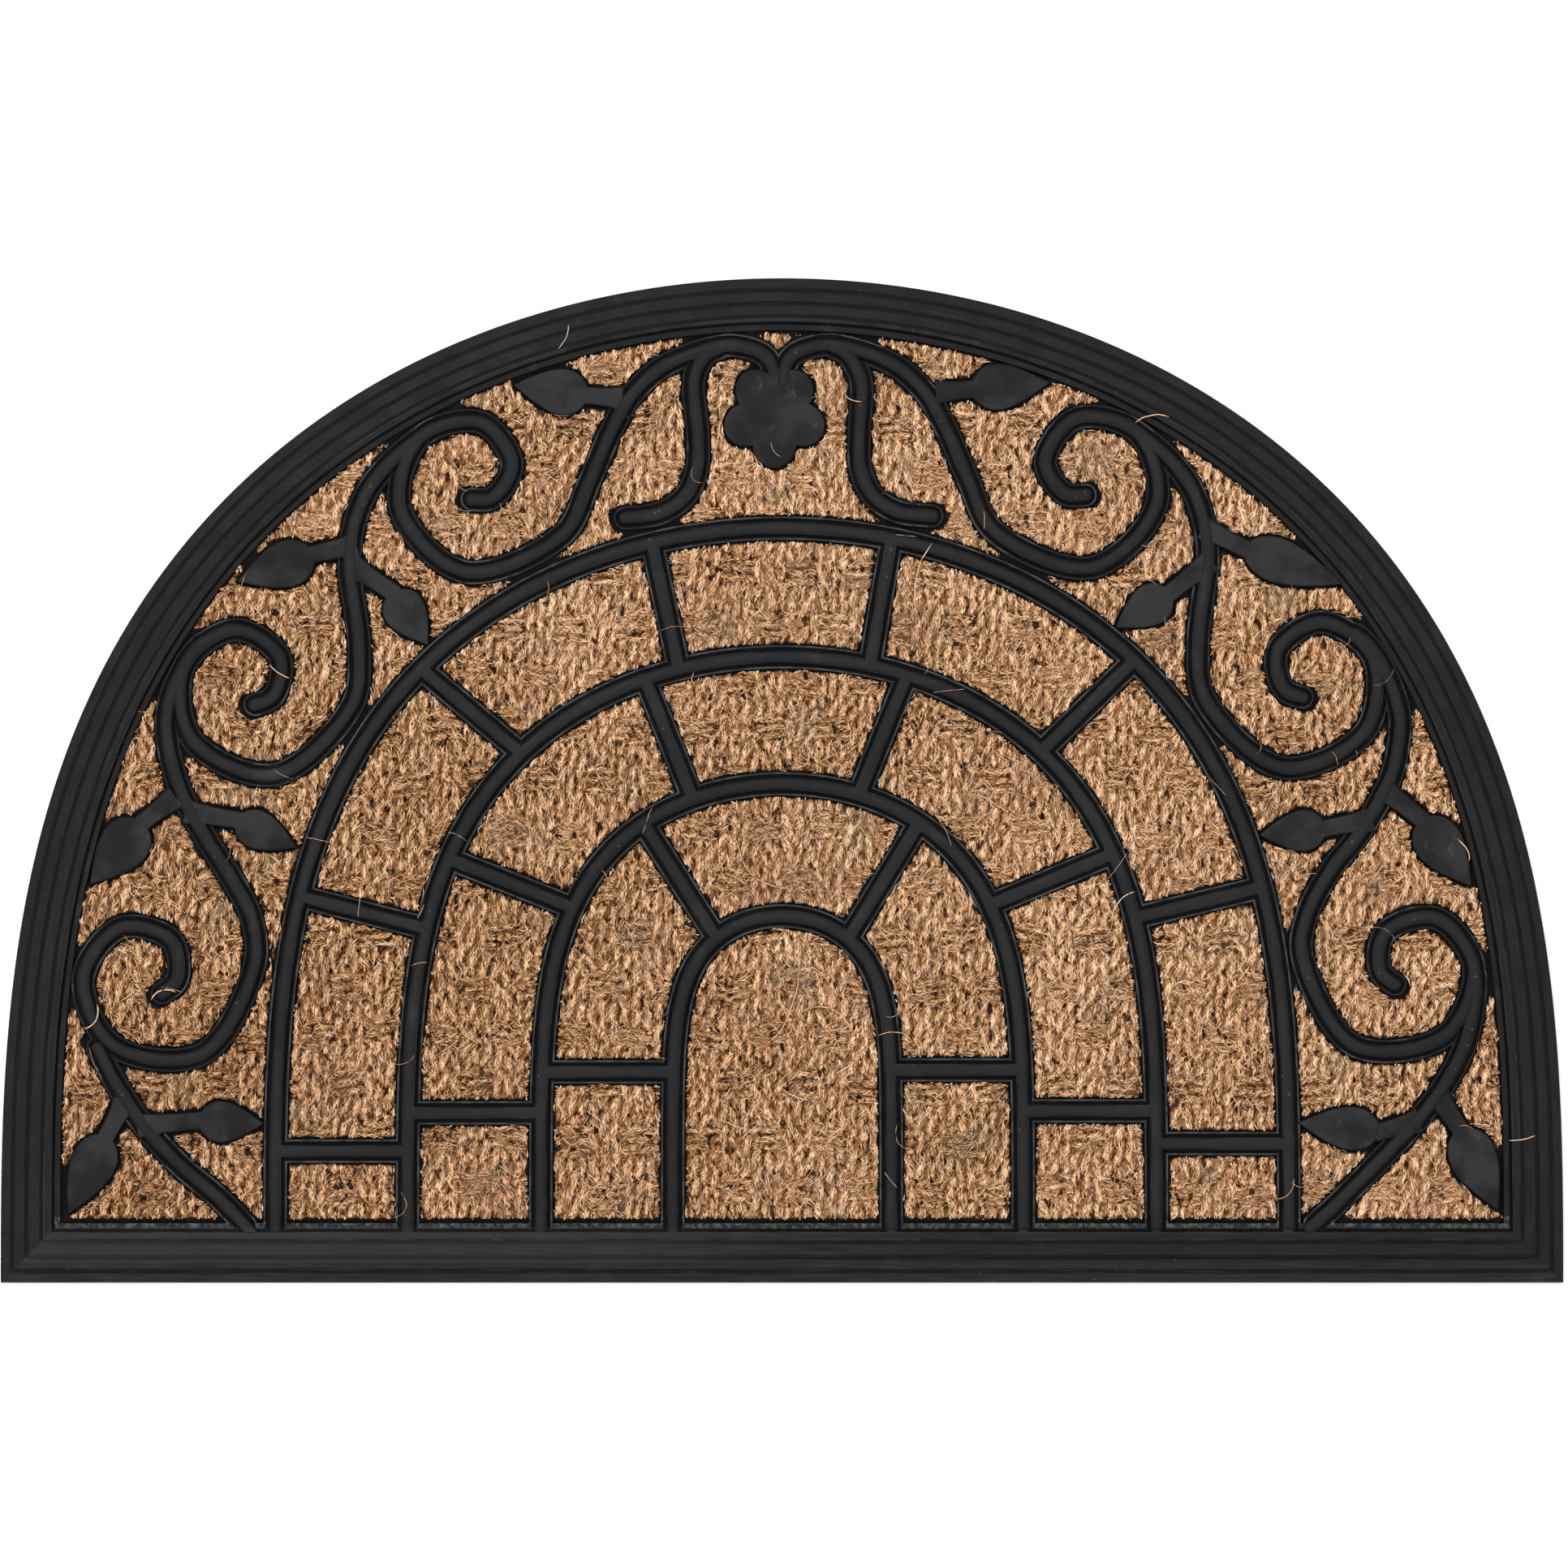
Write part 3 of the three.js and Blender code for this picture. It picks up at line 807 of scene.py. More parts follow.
def coir_base(field):
    """The panel: pressed flat under the rubber, swelling up in the cells, flat below."""
    step = COLUMN / WARP_YARNS / 3
    side, front, crown, squareness = BORDER[4][:4]
    half_width = MAT_WIDTH / 2 - side + 3
    u = np.arange(-round(half_width / step) - 1, round(half_width / step) + 2) * step
    v = np.arange(FRONT + front - 8, -FRONT - crown + 9, 2.15)
    u, v = np.meshgrid(u, v, indexing="ij")
    columns, rows = u.shape
    places = snapped(np.stack(bent(u, v), axis=-1), field)
    room = sampled(field, places)
    top = np.where(room > CELL_EDGE, held_down(coir_height(u, v)[0], room), PRESSED)
    verts = np.concatenate([places, top[..., None]], axis=-1).reshape(-1, 3)
    count = len(verts)
    quads = grid_faces(columns, rows, False)[:, [0, 3, 2, 1]]
    numbers = np.arange(columns * rows).reshape(columns, rows)
    sides = [numbers[:, 0], numbers[-1, 1:], numbers[-2::-1, -1], numbers[0, -2:0:-1]]
    border = np.concatenate(sides)
    foot = verts[border] * (1, 1, 0) + (0, 0, -3.0)
    ring = np.arange(len(border))
    after = np.roll(ring, -1)
    walls = np.stack([count + ring, count + after, border[after], border[ring]], -1)
    faces = np.concatenate([quads.ravel(), walls.ravel(), count + ring[::-1]])
    sizes = [4] * (len(quads) + len(walls)) + [len(border)]
    swollen = make_object("coir", np.concatenate([verts, foot]), faces, sizes)
    angles = even_angles(*BORDER[4][:4], 4.0)
    plan = inset_line(side + 0.3, front + 0.3, crown + 0.3, squareness, angles)
    plan = np.concatenate([plan, np.linspace(plan[-1], plan[0], 50)[1:-1]])[::-1]
    outline = lofted("outline", [level_ring(plan, z) for z in (PANEL_UNDER, 14.0)])
    base = combined(swollen, [outline], "INTERSECT", "coir_base")
    note_weave(base, field)
    return base


def note(obj, label, values):
    """Keeps a number for each corner, for the material to read."""
    layer = obj.data.attributes.new(label, "FLOAT", "POINT")
    layer.data.foreach_set("value", np.asarray(values, np.float32).ravel())


def note_weave(base, field):
    """Place in the even weave, share of weft, and, for the painted shade, room to the rubber, open
    crossings and depth below smooth yarns.
    """
    verts = np.zeros(len(base.data.vertices) * 3, np.float32)
    base.data.vertices.foreach_get("co", verts)
    places = verts.reshape(-1, 3)[:, :2] / MM
    u, v = unbent(places[:, 0], places[:, 1])
    _, across, reach = weave(u, v)
    note(base, "across", u)
    note(base, "along", v)
    note(base, "weft", np.clip((WEFT_BLOCK / 2 + 0.9 - np.abs(reach)) / 1.8, 0, 1))
    note(base, "room", sampled(field, places))
    note(base, "hole", hole_share(u, v))
    note(base, "depth", coir_height(u, v)[1])


# Fibres


# Numbers of the warp yarns, the columns and the weft blocks, and the places along the warp
YARNS, COLUMNS, BLOCKS, ALONG = (-72, 72), (-24, 24), (-6, 7), (-214, 206)


def yarn_places(rng, warp, count):
    """Random places on the yarns: the yarn's number, its middle line and the place along it."""
    if warp:
        number = rng.integers(*YARNS, count)
        middle = (number + 0.5) * COLUMN / WARP_YARNS
        return number, middle, rng.uniform(*ALONG, count)
    column, block = rng.integers(*COLUMNS, count), rng.integers(*BLOCKS, count)
    row = rng.integers(0, WEFT_YARNS, count)
    middle = block * REPEAT - (column % 2) * REPEAT / 2
    middle = middle + (row - (WEFT_YARNS - 1) / 2) * WEFT_BLOCK / WEFT_YARNS
    reach = (COLUMN + 2.0) / 2
    return row + 7 * column, middle, (column + 0.5) * COLUMN + rng.uniform(-reach, reach, count)


FIBRES = {  # by lying loose, by warp: half length, slant, rise, width, and tint with its spread
    (True, True): ((2.0, 5.2), 0.7, (0.15, 0.75), (0.26, 0.46), (0.84, 0.13)),
    (True, False): ((2.0, 5.2), 0.8, (0.15, 0.75), (0.26, 0.46), (0.84, 0.13)),
    (False, True): ((1.6, 4.0), 0.36, (-0.15, 0.22), (0.55, 1.1), (0.665, 0.06)),
    (False, False): ((1.2, 2.8), 0.5, (-0.15, 0.22), (0.55, 1.0), (0.525, 0.06)),
}


def fibre_paths(seed, warp, count, loose):
    """Points along each fibre, its width and tint. A fibre follows its ply's turn over the yarn."""
    rng = np.random.default_rng(seed)
    twist, offset, radius = WARP if warp else WEFT
    number, middle, place = yarn_places(rng, warp, count)
    phase, hand = yarn_turn(number)
    turn = 2 * np.pi * (place / twist + phase)
    lobe = np.round(turn / np.pi + rng.uniform(-0.16, 0.16, count))
    turn = turn - lobe * np.pi
    tone = np.sin(lobe * 12.9898 + number * 78.233) * 43758.5453 % 1 - 0.5
    on_ply = np.arcsin(rng.uniform(-0.97, 0.97, count))
    lengths, slant, rises, widths, tints = FIBRES[loose, warp]
    shares = (-1.0, -0.36, 0.36, 1.0) if loose else (-1.0, 0.0, 1.0)
    half = rng.uniform(*lengths, count)
    lean = rng.normal(0, slant, count)
    lift = rng.uniform(*rises, count)
    width = rng.uniform(*widths, count)
    tint = rng.normal(*tints, count) + (0 if loose else 0.04) * tone
    bend = rng.normal(0, 0.06 if warp else 0.09, count)
    depth = offset + radius - offset * np.cos(turn) - radius * np.cos(on_ply)
    # Painted shade: fibres lower on the sides of the plies are darker
    tint -= (0.04 if loose else 0.07) * depth
    points = []
    for share in shares:
        along_yarn = share * half
        angle = np.clip(turn + along_yarn * 2 * np.pi / twist, -2.0, 2.0)
        across = hand * offset * np.sin(angle) + radius * np.sin(on_ply)
        across = across + lean * along_yarn + bend * along_yarn**2
        high = offset * np.cos(angle) + radius * np.cos(on_ply) - offset - radius
        high = high + (lift if abs(share) < 0.5 else 0.5 * lift - 0.25)
        if warp:
            u, v = middle + across, place + along_yarn
            _, _, reach = weave(middle, v)
            top = warp_height(reach)
        else:
            u, v = place + along_yarn, middle + across
            column = np.floor(place / COLUMN)
            top = weft_height(u / COLUMN - column)
        x, y = bent(u, v)
        points.append(np.stack([x, y, top + high], axis=-1))
    points = np.stack(points, axis=1)
    shown = np.ones(count, bool)
    if warp:
        _, _, reach = weave(middle, place)
        shown = np.abs(reach) > WEFT_BLOCK / 2 - rng.uniform(-0.4, 3.0, count)
    return points[shown], width[shown], np.clip(tint, 0, 1)[shown], np.full(shown.sum(), not warp)


def kept(paths, width, tint, weft, field, seed, loose):
    """The fibres that end in their cell, each at its own ragged margin, held down near the rubber."""
    rng = np.random.default_rng(seed)
    low, high = (-0.5, 1.1) if loose else (0.35, 1.0)
    notch = np.clip(2.2 * fringe(paths[:, 1, 0], paths[:, 1, 1]) - 0.3, 0, 1)
    margin = rng.uniform(low, high, len(paths)) + notch
    room = sampled(field, paths[..., :2])
    if not loose:
        middle = paths[:, 1:2, :]
        fall = np.maximum(room[:, 1:2] - room, 1e-3)
        over = np.clip((room[:, 1:2] - margin[:, None]) / fall, 0, 0.97)
        over = np.where(room < margin[:, None], over, 1.0)
        paths = middle + (paths - middle) * over[..., None]
        room = sampled(field, paths[..., :2])
        margin = margin - 0.25
    missing = hole_share(*unbent(paths[:, 1, 0], paths[:, 1, 1]))
    missing &= rng.random(len(paths)) < (0.35 if loose else 0.93)
    inside = (room.min(axis=1) > margin) & (room.max(axis=1) > 0.35) & ~missing
    # Painted highlight: fibres close to the rubber, where the cell's edge bulges, are paler
    tint = np.clip(tint + 0.1 * np.exp(-np.maximum(room.min(axis=1), 0) / 0.8), 0, 1)
    paths = paths.copy()
    paths[..., 2] = held_down(paths[..., 2], room)
    return paths[inside], width[inside], tint[inside], weft[inside]


THREE_CORNERS = np.radians([90, 210, 330])


def fibre_mesh(name, paths, width, tint, weft):
    """Three-sided spindles, pointed at both ends, as one mesh."""
    count, points = paths.shape[:2]
    inner = points - 2
    way = paths[:, -1] - paths[:, 0]
    way /= np.maximum(np.linalg.norm(way, axis=1), 1e-6)[:, None]
    across = np.cross(way, (0, 0, 1.0))
    across /= np.maximum(np.linalg.norm(across, axis=1), 1e-6)[:, None]
    up = np.cross(across, way)
    corners = 2 + 3 * inner
    verts = np.zeros((count, corners, 3))
    verts[:, 0] = paths[:, 0]
    verts[:, -1] = paths[:, -1]
    for point in range(inner):
        for corner, turn in enumerate(THREE_CORNERS):
            side = math.cos(turn) * across + math.sin(turn) * up * 0.75
            verts[:, 1 + 3 * point + corner] = paths[:, 1 + point] + side * width[:, None] * 0.58
    pattern = []
    for corner in range(3):
        after = (corner + 1) % 3
        pattern.append((0, 1 + after, 1 + corner))
        for point in range(inner - 1):
            a, b = 1 + 3 * point, 4 + 3 * point
            pattern += [(a + corner, a + after, b + after), (a + corner, b + after, b + corner)]
        pattern.append((corners - 4 + corner, corners - 4 + after, corners - 1))
    faces = np.array(pattern).ravel()[None, :] + corners * np.arange(count)[:, None]
    obj = make_object(name, verts.reshape(-1, 3), faces, np.full(count * len(pattern), 3))
    note(obj, "tint", np.repeat(tint, corners))
    # Painted light and shade: 1 on each fibre's top edge, 0 on its lower edges, 0.3 at its ends
    note(obj, "crest_shading", np.tile([0.3] + [1.0, 0.0, 0.0] * inner + [0.3], count))
    note(obj, "weft", np.repeat(weft, corners))
    return obj


FIBRE_KINDS = [  # name, lying loose, along the warp, along the weft, the most in a piece
    ("fibres", False, 209000, 100000, 32500),
    ("loose", True, 18000, 12000, 16000),
]


def fibre_pieces(field):
    """Fibres that make up the yarns, in pieces from the straight edge to the crown, then loose ones."""
    pieces = []
    for kind, loose, warp_count, weft_count, limit in FIBRE_KINDS:
        warp = fibre_paths(21 + loose, True, warp_count, loose)
        weft = fibre_paths(31 + loose, False, weft_count, loose)
        both = [np.concatenate(pair) for pair in zip(warp, weft)]
        paths, *rest = kept(*both, field, 41 + loose, loose)
        order = np.argsort(paths[:, 1, 1], kind="stable")
        for part in np.array_split(order, math.ceil(len(order) / limit)):
            name = f"coir_{kind}_{len(pieces) + 1}"
            pieces.append(fibre_mesh(name, paths[part], *[values[part] for values in rest]))
    return pieces


HAIRS = [  # start, direction in degrees, length, bend in degrees for each millimetre, width
    ((-229, 52), -58, 11, 4.0, 0.6),
    ((-282, -98), 60, 13, -6.0, 0.8),
    ((-312, -111), 15, 14, 9.0, 0.8),
    ((67, 106), -122, 36, 1.2, 0.6),
    ((158, 160), 35, 16, -5.0, 0.6),
    ((28, 173), -60, 9, 7.0, 0.6),
    ((-100, 193), 48, 12, 2.0, 0.4),
    ((-126, 124), -70, 12, -6.0, 0.5),
    ((43, -114), 20, 17, -6.0, 0.4),
    ((325, -161), 3, 12, 2.0, 0.6),
    ((307, -36), 75, 12, 5.0, 0.6),
    ((-5, 151), -80, 8, 6.0, 0.3),
    ((-20, -28), -75, 34, 1.6, 0.6),
    ((7, -72), -86, 52, -1.2, 0.5),
    ((8, -104), 30, 30, -3.2, 0.7),
    ((24, -131), 22, 13, 0.8, 0.7),
    ((0, -138), -31, 13, 0.5, 0.6),
    ((85, -6), -12, 24, -1.6, 0.6),
    ((148, -62), 95, 17, -3.5, 0.6),
    ((150, 20), 30, 20, 4.0, 0.5),
]
HAIR_COUNT, HAIR_STEPS = 420, 9
# Heights of placed and of scattered hairs, and how near the rubber they rise to pass over it
PLACED_HEIGHT, SCATTERED_HEIGHT, RISE_REACH = 9.5, 9.15, 2.2


def hair_rows(rng, field):
    """The placed hairs, then scattered ones, most of which stay clear of the rubber."""
    rows = [(*start, *rest) for start, *rest in HAIRS]
    while len(rows) < HAIR_COUNT:
        x, y = rng.uniform(-322, 322), rng.uniform(-198, 198)
        turn, length = rng.uniform(0, 360), rng.uniform(5, 16)
        across, up = length * math.cos(math.radians(turn)), length * math.sin(math.radians(turn))
        least = 0.5 if rng.random() < 0.85 else -3.0
        if sampled(field, np.array([[x, y], [x + across, y + up]])).min() > least:
            rows.append((x, y, turn, length, rng.normal(0, 6), rng.uniform(0.17, 0.32)))
    return np.array(rows)


def hair_piece(field):
    """Long pale fibres lying loose on the panel and over the ribs, as three-sided tubes."""
    rng = np.random.default_rng(51)
    rows = hair_rows(rng, field)
    count = len(rows)
    placed = np.arange(count) < len(HAIRS)
    place, (turn, length, bend, width) = rows[:, :2], rows[:, 2:].T
    step = length / HAIR_STEPS
    turn = np.radians(turn)
    drift = np.radians(bend) * step
    rings = []
    for k in range(HAIR_STEPS + 1):
        if k < HAIR_STEPS:
            way = np.stack([np.cos(turn), np.sin(turn)], axis=1)
            turn = turn + drift + rng.normal(0, 0.1, count)
        rise = np.clip((RISE_REACH - sampled(field, place)) / RISE_REACH, 0, 1)
        z = np.where(placed, PLACED_HEIGHT, SCATTERED_HEIGHT) + rise
        z = z + 0.35 * math.sin(math.pi * k / HAIR_STEPS)
        thick = width * (0.35 if k in (0, HAIR_STEPS) else 1.0) / 2
        side = np.stack([-way[:, 1], way[:, 0]], axis=1)
        for corner in THREE_CORNERS:
            plan = place + side * (math.cos(corner) * thick)[:, None]
            rings.append(np.c_[plan, z + math.sin(corner) * thick])
        place = place + way * step[:, None]
    verts = np.stack(rings, axis=1)
    corners = verts.shape[1]
    quads = grid_faces(HAIR_STEPS + 1, 3, True)[:, [0, 3, 2, 1]]
    faces = [quads.ravel(), [0, 1, 2], [corners - 1, corners - 2, corners - 3]]
    faces = np.concatenate(faces)[None, :] + corners * np.arange(count)[:, None]
    sizes = np.tile([4] * len(quads) + [3, 3], count)
    obj = make_object("coir_hairs", verts.reshape(-1, 3), faces, sizes)
    tint = rng.normal(0.72, 0.1, count) + 0.2 * placed
    note(obj, "tint", np.repeat(np.clip(tint, 0, 1), corners))
    note(obj, "crest_shading", np.full(count * corners, 0.6))
    note(obj, "weft", np.zeros(count * corners))
    return obj


# Materials


class Shader:
    """A material's nodes around one Principled shader."""

    def __init__(self, name):
        self.material = bpy.data.materials.new(name)
        self.material.use_nodes = True
        self.nodes = self.material.node_tree.nodes
        self.links = self.material.node_tree.links
        self.surface = self.nodes["Principled BSDF"]
        self.place = self.nodes.new("ShaderNodeTexCoord").outputs["Object"]

    def put(self, socket, value):
        if isinstance(value, bpy.types.NodeSocket):
            self.links.new(value, socket)
        elif isinstance(value, tuple) and len(value) == 3 and socket.type == "RGBA":
            socket.default_value = (*value, 1.0)
        else:
            socket.default_value = value

    def math(self, operation, a, b=0.0, c=0.0):
        node = self.nodes.new("ShaderNodeMath")
        node.operation = operation
        for socket, value in zip(node.inputs, (a, b, c)):
            self.put(socket, value)
        return node.outputs[0]

    def times(self, a, b):
        return self.math("MULTIPLY", a, b)

    def over(self, a, b):
        return self.math("DIVIDE", a, b)

    def plus(self, a, b):
        return self.math("ADD", a, b)

    def less(self, a, b):
        return self.math("SUBTRACT", a, b)

    def most(self, a, b):
        return self.math("MAXIMUM", a, b)

    def scaled(self, value, factor, added):
        return self.math("MULTIPLY_ADD", value, factor, added)

    def ramp(self, value, low, high, to_low=0.0, to_high=1.0):
        """From one number to another while a value goes from low to high, with soft ends."""
        node = self.nodes.new("ShaderNodeMapRange")
        node.interpolation_type = "SMOOTHSTEP"
        for socket, given in zip(node.inputs, (value, low, high, to_low, to_high)):
            self.put(socket, given)
        return node.outputs[0]

    def band(self, value, low, high, soft=0.2):
        """1 between two places given in millimetres, 0 beyond them."""
        rising = self.ramp(value, (low - soft) * MM, low * MM)
        return self.times(rising, self.ramp(value, (high + soft) * MM, high * MM))

    def mix(self, share, a, b):
        """Colour between two, by its share of the second."""
        node = self.nodes.new("ShaderNodeMix")
        node.data_type = "RGBA"
        for index, given in ((0, share), (6, a), (7, b)):
            self.put(node.inputs[index], given)
        return node.outputs[2]

    def colours(self, value, stops):
        node = self.nodes.new("ShaderNodeValToRGB")
        elements = node.color_ramp.elements
        while len(elements) < len(stops):
            elements.new(0.5)
        for element, (place, colour) in zip(elements, stops):
            element.position = place
            element.color = (*colour, 1.0)
        self.put(node.inputs[0], value)
        return node.outputs[0]

    def stretched(self, scale, turn=(0, 0, 0)):
        node = self.nodes.new("ShaderNodeMapping")
        node.inputs["Scale"].default_value = scale
        node.inputs["Rotation"].default_value = turn
        self.links.new(self.place, node.inputs["Vector"])
        return node.outputs[0]

    def noise(self, size, detail=2.0, roughness=0.5, place=None):
        """Noise whose patches are about a size in metres."""
        node = self.nodes.new("ShaderNodeTexNoise")
        self.links.new(place or self.place, node.inputs["Vector"])
        node.inputs["Scale"].default_value = 0.5 / size
        node.inputs["Detail"].default_value = detail
        node.inputs["Roughness"].default_value = roughness
        return node.outputs["Fac"]

    def specks(self, spacing, size):
        """1 in small round specks, 0 elsewhere."""
        node = self.nodes.new("ShaderNodeTexVoronoi")
        self.links.new(self.place, node.inputs["Vector"])
        node.inputs["Scale"].default_value = 1 / spacing
        return self.ramp(node.outputs["Distance"], size / spacing, 0.6 * size / spacing)

    def blend(self, share, a, b):
        """Number between two, by its share of the second."""
        node = self.nodes.new("ShaderNodeMix")
        for index, given in ((0, share), (2, a), (3, b)):
            self.put(node.inputs[index], given)
        return node.outputs[0]

    def strands(self, across, along, width, length):
        """Noise drawn out along one direction. All four are in millimetres."""
        node = self.nodes.new("ShaderNodeCombineXYZ")
        self.put(node.inputs[0], self.over(across, width))
        self.put(node.inputs[1], self.over(along, length))
        return self.noise(0.5, 3, 0.6, node.outputs[0])

    def drawn_out(self, size, scale, turn):
        """Noise of small patches that are longer one way, turned by an angle."""
        return self.noise(size, 1, 0.5, self.stretched(scale, (0, 0, turn)))

    def gap_shade_mask(self, weft):
        """1 in the small gaps and pits between coir fibres, drawn out along the yarns, where painted shade
        goes.
        """
        warp_gap = self.drawn_out(0.0009, (1.0, 0.42, 0.3), 0.25)
        other_gap = self.drawn_out(0.0010, (1.0, 0.5, 0.3), -0.6)
        weft_gap = self.drawn_out(0.0009, (0.5, 1.0, 0.3), 0.3)
        gap = self.most(self.blend(weft, warp_gap, weft_gap), self.less(other_gap, 0.02))
        speck = self.drawn_out(0.0015, (1.0, 0.6, 0.3), 0.4)
        return self.most(self.ramp(gap, 0.58, 0.68, 0.0, 0.6), self.ramp(speck, 0.645, 0.68))

    def coir(self, tone, weft):
        """Coir from dark reddish brown to pale straw, with painted shade in the gaps between fibres, and
        with redder and greyer patches.
        """
        x, y, _ = self.coordinates()
        tone = self.plus(tone, self.ramp(x, -0.32, -0.02, -0.06, 0.01))
        tone = self.plus(tone, self.ramp(x, 0.03, 0.12, 0.0, 0.025))
        tone = self.plus(tone, self.ramp(y, 0.02, 0.12, 0.0, 0.07))
        tone = self.scaled(self.noise(0.05, 2), 0.3, self.less(tone, 0.14))
        tone = self.scaled(self.noise(0.011, 2), 0.3, self.less(tone, 0.15))
        # Painted shade in the gaps and pits between fibres
        tone = self.scaled(self.gap_shade_mask(weft), -0.6, tone)
        colour = self.colours(
            tone,
            [
                (0.00, (0.020, 0.009, 0.005)),
                (0.18, (0.165, 0.058, 0.014)),
                (0.40, (0.320, 0.160, 0.065)),
                (0.66, (0.540, 0.315, 0.165)),
                (1.00, (0.780, 0.525, 0.345)),
            ],
        )
        red = self.noise(0.016, 2, 0.5, self.stretched((1, 1, 1), (0, 0, 1.1)))
        colour = self.mix(self.ramp(red, 0.56, 0.72, 0.0, 0.3), colour, (0.270, 0.125, 0.075))
        grey = self.noise(0.013, 3, 0.6)
        return self.mix(self.ramp(grey, 0.56, 0.72, 0.0, 0.4), colour, (0.215, 0.165, 0.100))

    def coordinates(self):
        node = self.nodes.new("ShaderNodeSeparateXYZ")
        self.links.new(self.place, node.inputs[0])
        return node.outputs

    def bump(self, height, depth, strength):
        node = self.nodes.new("ShaderNodeBump")
        node.inputs["Strength"].default_value = strength
        node.inputs["Distance"].default_value = depth
        self.links.new(height, node.inputs["Height"])
        self.links.new(node.outputs[0], self.surface.inputs["Normal"])

    def attribute(self, name):
        node = self.nodes.new("ShaderNodeAttribute")
        node.attribute_name = name
        return node.outputs["Fac"]

    def finish(self, colour, roughness, specular=0.5):
        self.put(self.surface.inputs["Base Color"], colour)
        self.put(self.surface.inputs["Roughness"], roughness)
        self.surface.inputs["Specular IOR Level"].default_value = specular
        return self.material


# Soft edges across y in metres: of the front border, its inner step, the rim and the gritty strip
FRONT_EDGE, INNER_STEP_EDGE = (-0.199, -0.201), (-0.2170, -0.2150)
RIM_EDGE, GRIT_EDGE = (-0.1966, -0.1972), (-0.1950, -0.1954)


def border_masks(s, x, y):
    """Where the border is, where its straight front is, and places around its bow: out and along."""
    side, foot, crown, squareness = BORDER[4][:4]
    wide = s.over(x, (MAT_WIDTH / 2 - side) * MM)
    deep = s.over(s.less(y, (FRONT + foot) * MM), (MAT_DEPTH - foot - crown) * MM)
    bulge = s.math("POWER", s.most(deep, 0.0), squareness)
    reach = s.math("SQRT", s.plus(s.times(wide, wide), bulge))
    corner = (MAT_WIDTH / 2 + FRONT) * MM
    mitre = s.plus(s.math("ABSOLUTE", x), y)
    past_mitre = s.ramp(mitre, corner - 0.0004, corner + 0.0004, 1.0, 0.0)
    at_front = s.times(s.ramp(y, *FRONT_EDGE), past_mitre)
    border = s.most(at_front, s.ramp(reach, 1.0, 1.004))
    return border, at_front, reach, s.math("ARCTAN2", deep, wide)


def lip_highlight_and_wear(s, x, y):
    """Lips paler as painted highlight along their edge and as wear: pale along the arches, pale in patches
    along the vines.
    """
    half, rise, power = (ARCHES[0][0] + 5.3) * MM, (ARCHES[0][1] + 5.3) * MM, ARCHES[0][2]
    flank = s.math("POWER", s.over(x, half), 2.0)
    top = s.most(s.over(s.less(y, ARCH_FOOT * MM), rise), 0.0)
    arched = s.ramp(s.plus(flank, s.math("POWER", top, power)), 1.005, 1.03, 1.0, 0.0)
    patchy = s.ramp(s.noise(0.004, 3, 0.6), 0.40, 0.62)
    on_arch = s.mix(patchy, (0.0130, 0.0132, 0.0140), (0.036, 0.038, 0.041))
    patchy = s.ramp(s.noise(0.008, 3, 0.6), 0.50, 0.62)
    on_vine = s.mix(patchy, (0.0052, 0.0050, 0.0054), (0.029, 0.031, 0.034))
    return s.mix(arched, on_vine, on_arch)


def border_streaks(s, colour, x, y, border, at_front, reach, turn):
    """Streaks along the border, its darker bow, and an inner front step lighter to the left."""
    bow = s.strands(s.times(reach, 365.0), s.times(turn, 365.0), 0.9, 30.0)
    front = s.strands(s.times(y, 1000.0), s.times(x, 1000.0), 0.9, 30.0)
    grain = s.blend(at_front, bow, front)
    pale = s.times(border, s.ramp(grain, 0.5, 0.68, 0.0, 0.8))
    colour = s.mix(pale, colour, (0.0175, 0.0168, 0.0172))
    dark = s.times(border, s.ramp(grain, 0.5, 0.33))
    colour = s.mix(dark, colour, (0.0048, 0.0045, 0.0048))
    bow_share = s.times(border, s.ramp(at_front, 0.0, 1.0, 0.6, 0.0))
    colour = s.mix(bow_share, colour, (0.0036, 0.0034, 0.0036))
    inner_front = s.times(at_front, s.ramp(y, *INNER_STEP_EDGE))
    left = s.times(inner_front, s.ramp(x, -0.08, 0.02, 0.6, 0.0))
    colour = s.mix(left, colour, (0.019, 0.0184, 0.019))
    right = s.times(inner_front, s.ramp(x, -0.02, 0.10, 0.0, 0.5))
    return s.mix(right, colour, (0.0036, 0.0034, 0.0036))


